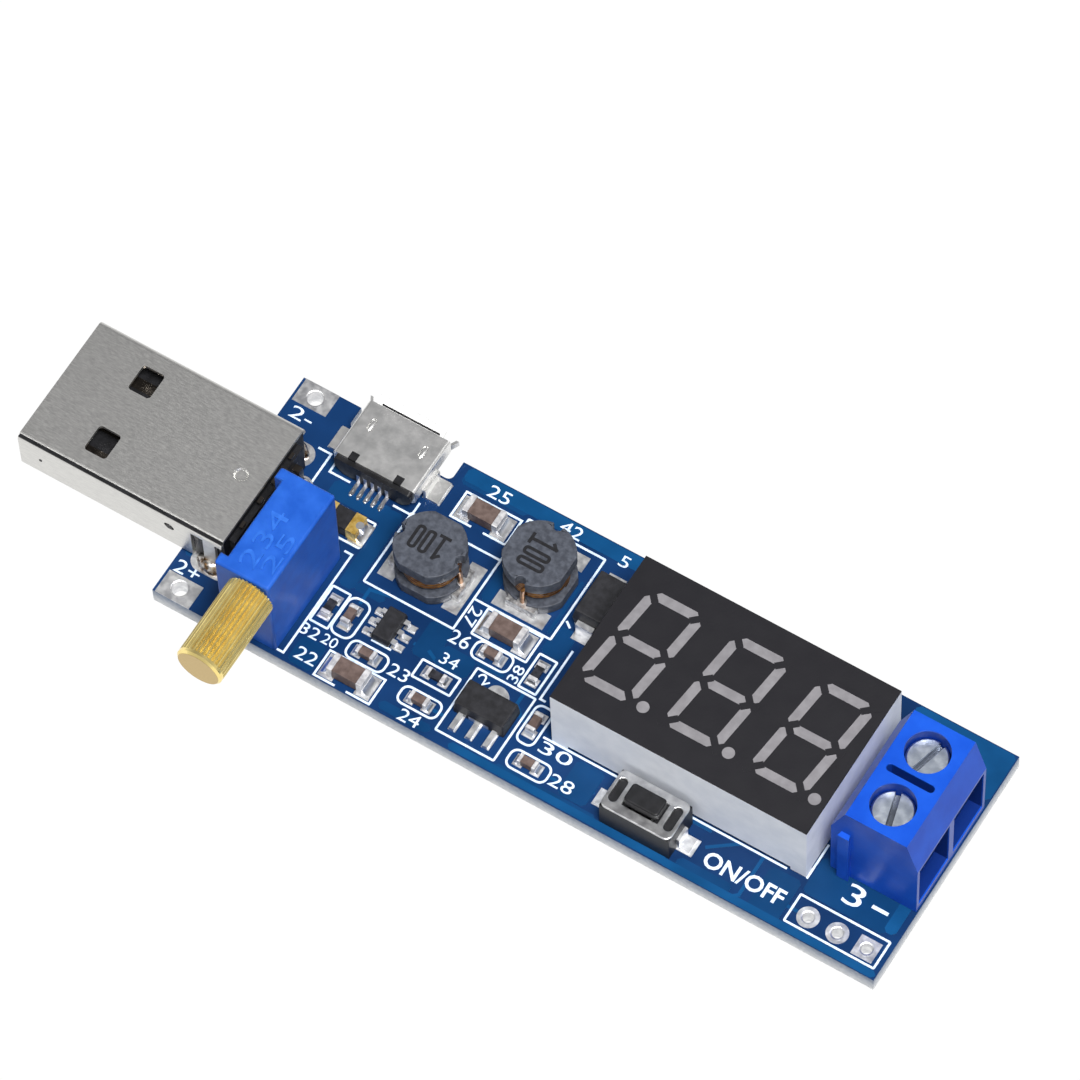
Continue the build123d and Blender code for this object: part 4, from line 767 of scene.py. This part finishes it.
board_numbers = [
    ("25", (17.7, 20.2, 19.6, 21.3), 0),
    ("27", (21.9, 9.8, 22.9, 11.5), -90),
    ("22", (12.4, 0.7, 14.2, 1.8), 0),
    ("20", (13.5, 2.8, 14.8, 3.7), 0),
    ("23", (19.3, 3.1, 21.0, 4.2), 0),
    ("24", (22.0, 0.25, 23.8, 1.3), 0),
    ("26", (21.8, 7.9, 23.5, 9.1), 0),
    ("28", (34.8, 1.4, 36.8, 2.5), 0),
    ("30", (32.7, 3.4, 35.5, 4.45), 0),
    ("32", (11.6, 2.7, 13.2, 3.7), 0),
    ("34", (22.2, 6.0, 23.7, 7.0), 0),
    ("38", (27.45, 7.4, 28.35, 8.9), 90),
    ("42", (24.1, 20.4, 26.0, 21.5), 0),
    ("5", (29.6, 20.2, 30.4, 21.2), 0),
    ("2", (25.55, 6.15, 26.5, 6.9), 45),
    ("2-", (0.7, 18.3, 2.7, 19.4), 0),
    ("2+", (0.4, 2.25, 2.5, 3.4), 0),
    ("3", (58.9, 4.4, 60.4, 6.2), 0),
    ("-", (61.2, 5.1, 62.6, 5.4), 0),
]
number_height = ink_top / 2 + 0.006
shape = bmesh.new()
for words, area, turn in board_numbers:
    marks_on(shape, words, area, number_height, ink_top, turn)
marks_on(shape, "ON/OFF", (48.3, 1.6, 55.2, 3.0), number_height, ink_top, weight=0.02)
piece("printed_numbers", shape, ink_white, smooth_angle=0)

# %% [markdown]
# Each wound coil carries a dark printed number on its ferrite, its noughts drawn as rings and its
# one as bars. The trimmer's lid has small raised figures that name its three pins and its turns,
# in a lighter blue that is a painted highlight for the light their raised edges catch.

# %% Numbers on the parts
coil_figures = {
    1: (
        [(16.2, 11.5, 16.72, 13.4), (17.14, 11.5, 17.66, 13.4)],
        [[(18.45, 11.45), (18.45, 13.45)], [(18.1, 13.45), (18.85, 13.45)], [(18.45, 11.45), (18.8, 11.8)]],
    ),
    2: (
        [(24.15, 14.6, 26.25, 15.12), (24.15, 15.54, 26.25, 16.06)],
        [[(24.1, 16.85), (26.3, 16.85)], [(24.1, 16.5), (24.1, 17.25)], [(26.3, 16.85), (25.95, 17.2)]],
    ),
}
figure_line = 0.27
stroke_lift = 0.001
shape = bmesh.new()
for number, (zeros, strokes) in coil_figures.items():
    ferrite_top = (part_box(f"inductor_{number}_core")[1].z - board_high.z) / mm
    figure_low = ferrite_top - 0.004
    figure_top = ferrite_top + 0.012
    for zero in zeros:
        ink_ring(shape, *zero, corner=0.2, steps=4, base=figure_low, top=figure_top, line=figure_line)
    for step, stroke in enumerate(strokes):
        bar_chain(shape, stroke, figure_line, figure_low, figure_top + step * stroke_lift)
piece("coil_numbers", shape, ink_black, smooth_angle=0)
lid_mark = (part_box("trimmer_housing")[1].z - board_high.z) / mm + 0.02
shape = bmesh.new()
marks_on(shape, "234", (7.6, 1.3, 9.1, 6.6), lid_mark, 0.1, 90)
marks_on(shape, "25", (9.4, 1.6, 10.6, 5.2), lid_mark, 0.1, 90)
piece("trimmer_figures", shape, trimmer_figure_highlight, smooth_angle=0)

# %% [markdown]
# The black face runs between the resin bars of each digit, so the bars stand apart. Each gap is a
# thin black bar laid across a joint: one at each of the four corners, three at each end of the
# middle bar.

# %% Display gaps
display_low, display_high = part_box("display_housing")
face_height = (display_high.z - board_high.z) / mm
face_x = ((display_low.x + display_high.x) / 2 - board_low.x) / mm
face_shift = 0.15
face_y = ((display_low.y + display_high.y) / 2 - board_low.y) / mm + face_shift
digit_pitch = (display_high.x - display_low.x) / mm / 3
digit_half_x = 0.2773 * digit_pitch
digit_half_y = 4.3
digit_lean = math.tan(math.radians(6.6))
digit_gap = 0.58
gap_reach = 0.35
gap_lift = 0.0007


def digit_run(middle_x, *points):
    """Points of a digit, leaned as the digits lean and moved to their place on the board."""
    return [(middle_x + x + y * digit_lean, face_y + y) for x, y in points]


shape = bmesh.new()
gap_low = face_height - 0.1
gap_top = face_height + 0.004
for step in (-1, 0, 1):
    middle_x = face_x + step * digit_pitch
    for side in (-1, 1):
        end = side * digit_half_x
        near, far = side * (digit_half_x - gap_reach), side * (digit_half_x + gap_reach)
        for row in (-digit_half_y, digit_half_y):
            rise = math.copysign(gap_reach, row)
            corner_run = digit_run(middle_x, (near, row - rise), (far, row + rise))
            bar_chain(shape, corner_run, digit_gap, gap_low, gap_top)
            gap_top += gap_lift
        for point in ((near, gap_reach), (near, -gap_reach), (far, 0)):
            bar_chain(shape, digit_run(middle_x, (end, 0), point), digit_gap, gap_low, gap_top)
            gap_top += gap_lift
piece("digit_gaps", shape, display_grey, smooth_angle=0)

# %% [markdown]
# A thin black strip under the plug's rounded near top edge is painted shade for the dark reflection
# there, and two small holes punched under it are dark discs of painted shade. Behind the black block
# the four contacts bend down, and solder stands round the plug's legs and pins.

# %% Plug details
plug_low, plug_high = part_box("usb_plug_shell")
plug_left, plug_right = (plug_low.x - board_low.x) / mm, (plug_high.x - board_low.x) / mm
plug_near, plug_far = (plug_low.y - board_low.y) / mm, (plug_high.y - board_low.y) / mm
plug_top = (plug_high.z - board_high.z) / mm
plug_middle = (plug_near + plug_far) / 2
pin_offsets = (-3.5, -1.0, 1.0, 3.5)
quarter_turn = Matrix.Rotation(math.radians(90), 4, "X")
edge_shade_y = plug_near + 0.2
edge_shade_run = [(plug_left + 0.15, edge_shade_y), (plug_right - 0.15, edge_shade_y)]
hole_shade_discs = [(-0.85, 3.0, 0.3), (-12.75, 2.4, 0.14)]
shape = bmesh.new()
# Painted shade: a black strip for the dark reflection of the rounded edge, and black discs for the shade
# inside the holes.
bar_chain(shape, edge_shade_run, 0.26, plug_top - 0.24, plug_top - 0.12)
for x, z, radius in hole_shade_discs:
    place = Matrix.Translation(on_board(x, plug_near - 0.01, z)) @ quarter_turn
    rod(shape, place, radius, 0.04, 20)
piece("plug_painted_shade", shape, finishes["black_plastic"], smooth_angle=0)
shape = bmesh.new()
for offset in pin_offsets:
    block(shape, on_board(plug_right + 0.38, plug_middle + offset, plug_top - 0.3), (0.3, 0.6, 0.16))
piece("plug_contact_bends", shape, finishes["plated_contacts"], smooth_angle=0)


def solder_mound(shape, x, y, length, width, height):
    """A frozen drop of solder, a little uneven, standing on the board's face."""
    made = bmesh.ops.create_icosphere(shape, subdivisions=4, radius=1.0)
    for vert in made["verts"]:
        vert.co *= 1 + 0.07 * math.sin(4 * vert.co.x + 2 * y) * math.cos(5 * vert.co.y + x)
    stretch = Matrix.Diagonal((length / 2 * mm, width / 2 * mm, height * mm, 1))
    place = Matrix.Translation(on_board(x, y, foil))
    bmesh.ops.transform(shape, matrix=place @ stretch, verts=made["verts"])


shape = bmesh.new()
for y in (plug_near + 0.1, plug_far - 0.1):
    solder_mound(shape, 2.8, y, 2.6, 1.8, 0.85)
piece("plug_leg_solder", shape, finishes["flux_solder"])
shape = bmesh.new()
for offset in pin_offsets:
    solder_mound(shape, 5.0, plug_middle + offset, 1.5, 1.5, 0.6)
piece("plug_pin_solder", shape, finishes["solder"])

# %% [markdown]
# The small socket's shell has two sprung latches pressed into its top; a black strip where its upper
# lip turns up is painted shade. A little solder stands at the end of each contact.

# %% Socket details
socket_low, socket_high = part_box("micro_usb_shell")
socket_x = ((socket_low.x + socket_high.x) / 2 - board_low.x) / mm
socket_far = (socket_high.y - board_low.y) / mm
socket_top = (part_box("micro_usb_insulator")[1].z - board_high.z) / mm
contact_end = (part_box("micro_usb_contacts")[0].y - board_low.y) / mm
contact_pitch = 0.65
lip_shade_y = socket_far - 0.56
lip_shade_run = [(socket_x - 2.5, lip_shade_y), (socket_x + 2.6, lip_shade_y)]
# Painted shade: a black strip along the lip's bend stands in for the dark reflection there.
shape = bmesh.new()
bar_chain(shape, lip_shade_run, 0.14, socket_top - 0.1, socket_top + 0.09)
piece("socket_lip_shade", shape, finishes["black_plastic"], smooth_angle=0)
shape = bmesh.new()
for step in range(-2, 3):
    solder_mound(shape, socket_x + step * contact_pitch, contact_end + 0.35, 0.42, 0.95, 0.16)
piece("socket_contact_solder", shape, finishes["solder"])
latch_x = 2.35
latch_y = socket_far - 2.5
latch_stretch = Matrix.Diagonal((0.24 * mm, 0.62 * mm, 0.14 * mm, 1))
shape = bmesh.new()
for side in (-1, 1):
    made = bmesh.ops.create_uvsphere(shape, u_segments=24, v_segments=12, radius=1.0)
    place = Matrix.Translation(on_board(socket_x + side * latch_x, latch_y, socket_top - 0.1))
    bmesh.ops.transform(shape, matrix=place @ latch_stretch, verts=made["verts"])
piece("socket_latches", shape, finishes["tin_shell"])

# %% [markdown]
# The coils are enamelled wire, wound tight round the ferrite's neck in two layers. A circle spun
# with a rise at each step makes the helix, and its two ends are capped. Two leads run down through
# the notches to the soldered ends.

# %% Coil wire
wire_r = 0.22
coil_r = 2.35
turns = 5
steps_a_turn = 40


def wound_wire(shape, centre, radius, low, high, direction=1):
    """One layer of wire from low to high round a centre, all in millimetres of the board."""
    made = bmesh.ops.create_circle(shape, cap_ends=True, segments=10, radius=wire_r * mm)
    stand = Matrix.Translation(on_board(centre[0] + radius, centre[1], low + wire_r)) @ quarter_turn
    bmesh.ops.transform(shape, matrix=stand, verts=made["verts"])
    face = made["verts"][0].link_faces[0]
    steps = steps_a_turn * turns
    rise = (high - low - 2 * wire_r) / steps
    bmesh.ops.spin(
        shape,
        geom=[face],
        cent=on_board(*centre),
        axis=(0, 0, 1),
        dvec=(0, 0, rise * mm),
        angle=direction * math.tau * turns,
        steps=steps,
    )


def lead_wire(points):
    """A short bent lead along board points, as a mesh."""
    curve = bpy.data.curves.new("lead", "CURVE")
    curve.dimensions = "3D"
    curve.bevel_depth = wire_r * mm
    curve.bevel_resolution = 3
    curve.use_fill_caps = True
    curve.resolution_u = 6
    run = curve.splines.new("NURBS")
    run.points.add(len(points) - 1)
    for held, point in zip(run.points, points):
        held.co = (*on_board(*point), 1)
    run.order_u = 3
    run.use_endpoint_u = True
    return mesh_of(curve)


coils = {1: ((17.7, 12.4), 0), 2: ((25.3, 16.0), 90)}
for number, (centre, turn) in coils.items():
    low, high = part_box(f"inductor_{number}_winding")
    bottom = (low.z - board_high.z) / mm
    top = (high.z - board_high.z) / mm
    shape = bmesh.new()
    wound_wire(shape, centre, coil_r - wire_r, bottom, top)
    wound_wire(shape, centre, coil_r - wire_r * 3, bottom, top, -1)
    for side in (1, -1):
        angle = math.radians(turn + (0 if side > 0 else 180))
        along = Vector((math.cos(angle), math.sin(angle)))
        across = Vector((-math.sin(angle), math.cos(angle)))
        run = []
        for out_mm, over_mm, height in (
            (1.75, -1.15 * side, top - wire_r),
            (2.3, -0.6 * side, top - wire_r - 0.03),
            (2.56, -0.05 * side, top - 0.4),
            (2.58, 0.0, (top + bottom) / 2),
            (2.6, 0.0, bottom),
            (2.64, 0.0, 0.8),
        ):
            spot = Vector(centre) + along * out_mm + across * over_mm
            run.append((spot.x, spot.y, height))
        take_in(shape, lead_wire(run))
    coil = piece(f"inductor_{number}_wire", shape, wire)
    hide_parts(f"inductor_{number}_winding")

# %% [markdown]
# Molten solder climbs the end of each chip and freezes as a small hollow slope. Each slope is a
# cube pulled into a wedge, with its long face pushed in and rounded, one at each end of each chip.

# %% Solder slopes
slope_dip = 0.2475
slope_share = 0.92
wedge_top = -0.42


def slant(face):
    """How far a face leans out and up, which is most for the long face of a wedge."""
    leans = face.normal.x > 0.1 and face.normal.z > 0.1
    return face.normal.x + face.normal.z if leans else -9


def solder_slope(shape, x, y, turn, wide, reach, tall):
    """A slope of solder against a chip's end. x and y are the middle of the end's face."""
    made = bmesh.ops.create_cube(shape, size=1.0)
    verts = made["verts"]
    for vert in verts:
        if vert.co.x > 0 and vert.co.z > 0:
            vert.co.x = wedge_top
    bmesh.ops.scale(shape, vec=(reach * mm, wide * mm, tall * mm), verts=verts)
    faces = {f for v in verts for f in v.link_faces}
    slope = max(faces, key=slant)
    edges = [e for e in slope.edges if abs(e.verts[0].co.y - e.verts[1].co.y) < wide * 0.1 * mm]
    cut = bmesh.ops.subdivide_edges(shape, edges=edges, cuts=3, use_grid_fill=True)
    inner = [g for g in cut["geom_inner"] if isinstance(g, bmesh.types.BMVert)]
    for vert in inner:
        along = min(max(vert.co.x / (reach * mm) + 0.5, 0), 1)
        vert.co.z -= slope_dip * tall * mm * math.sin(math.pi * along)
    verts = {v for f in faces if f.is_valid for v in f.verts} | set(inner)
    place = Matrix.Translation(on_board(x, y, pad_thickness + tall / 2))
    turned = Matrix.Rotation(math.radians(turn), 4, "Z")
    shift = Matrix.Translation((reach * mm / 2, 0, 0))
    bmesh.ops.transform(shape, matrix=place @ turned @ shift, verts=list(verts))


fuse_x, fuse_y = 9.6, 12.35
large_places = [(18.75, 18.4), (25.5, 10.65), (17.1, 1.4), (fuse_x, fuse_y)]
small_places = [
    (14.4, 5.75, 90),
    (17.25, 3.6, 0),
    (22.85, 2.3, 0),
    (25.5, 8.5, 0),
    (32.8, 2.0, 0),
    (31.45, 5.15, 90),
]
resistor_places = [(12.6, 5.75, 90), (22.8, 4.8, 0), (29.3, 9.0, 90)]
chips = [(x, y, 0, 3.2, 1.6, 0.6, 0.6) for x, y in large_places]
chips += [(x, y, turn, 1.6, 0.8, 0.32, 0.4) for x, y, turn in small_places]
chips += [(x, y, turn, 1.6, 0.8, 0.32, 0.25) for x, y, turn in resistor_places]
shape = bmesh.new()
for x, y, turn, long, wide, reach, tall in chips:
    for side in (0, 180):
        angle = math.radians(turn + side)
        end_x = x + math.cos(angle) * long / 2
        end_y = y + math.sin(angle) * long / 2
        solder_slope(shape, end_x, end_y, turn + side, wide * slope_share, reach, tall)
piece("chip_solder", shape, finishes["solder"], smooth_angle=50)

# %% [markdown]
# The chip beside the trimmer is a resettable fuse: a black body with gold plated ends, each end
# with a round plated notch.

# %% Fuse
fuse_height = 1.31
shape = bmesh.new()
bar_chain(shape, [(fuse_x - 0.5, fuse_y), (fuse_x + 0.5, fuse_y)], 1.68, 0.08, fuse_height)
piece("fuse_body", shape, finishes["chip_plastic"], smooth_angle=0)
shape = bmesh.new()
for side in (-1, 1):
    block(shape, on_board(fuse_x + side * 1.24, fuse_y, 0.715), (0.9, 1.76, fuse_height))
piece("fuse_ends", shape, finishes["gold_plate"])
shape = bmesh.new()
for side in (-1, 1):
    rod(shape, Matrix.Translation(on_board(fuse_x + side * 1.62, fuse_y, 0.72)), 0.34, 1.33, 24)
piece("fuse_notches", shape, finishes["solder"])

# %% [markdown]
# The holes for wires and header pins are plated through: a thin bright sleeve from face to face
# with a small collar. A profile of the sleeve's wall is spun once round each hole.

# %% Plated holes
def plated_hole(shape, x, y, hole_r):
    """A sleeve in a hole of the board, with a collar on the upper face."""
    inner = hole_r - 0.04
    profile = [
        (inner, -board_thickness - 0.03),
        (inner, 0.03),
        (hole_r + 0.02, 0.065),
        (hole_r + 0.12, 0.06),
        (hole_r + 0.02, 0.02),
        (hole_r - 0.005, -board_thickness - 0.01),
    ]
    verts = [shape.verts.new(on_board(x + r, y, z)) for r, z in profile]
    edges = [shape.edges.new((a, b)) for a, b in zip(verts, verts[1:] + verts[:1])]
    centre = on_board(x, y)
    bmesh.ops.spin(
        shape, geom=verts + edges, cent=centre, axis=(0, 0, 1), angle=math.tau, steps=32, use_merge=True
    )


wire_holes = [(1.78, 1.15), (1.78, 20.65)]
header_holes = [(57.55, 1.98), (60.09, 1.98), (62.63, 1.98)]
shape = bmesh.new()
for hole_r, holes in ((0.7, wire_holes), (0.5, header_holes)):
    for x, y in holes:
        plated_hole(shape, x, y, hole_r)
bmesh.ops.remove_doubles(shape, verts=shape.verts, dist=weld_reach * mm)
piece("plated_holes", shape, finishes["tinned_copper"])
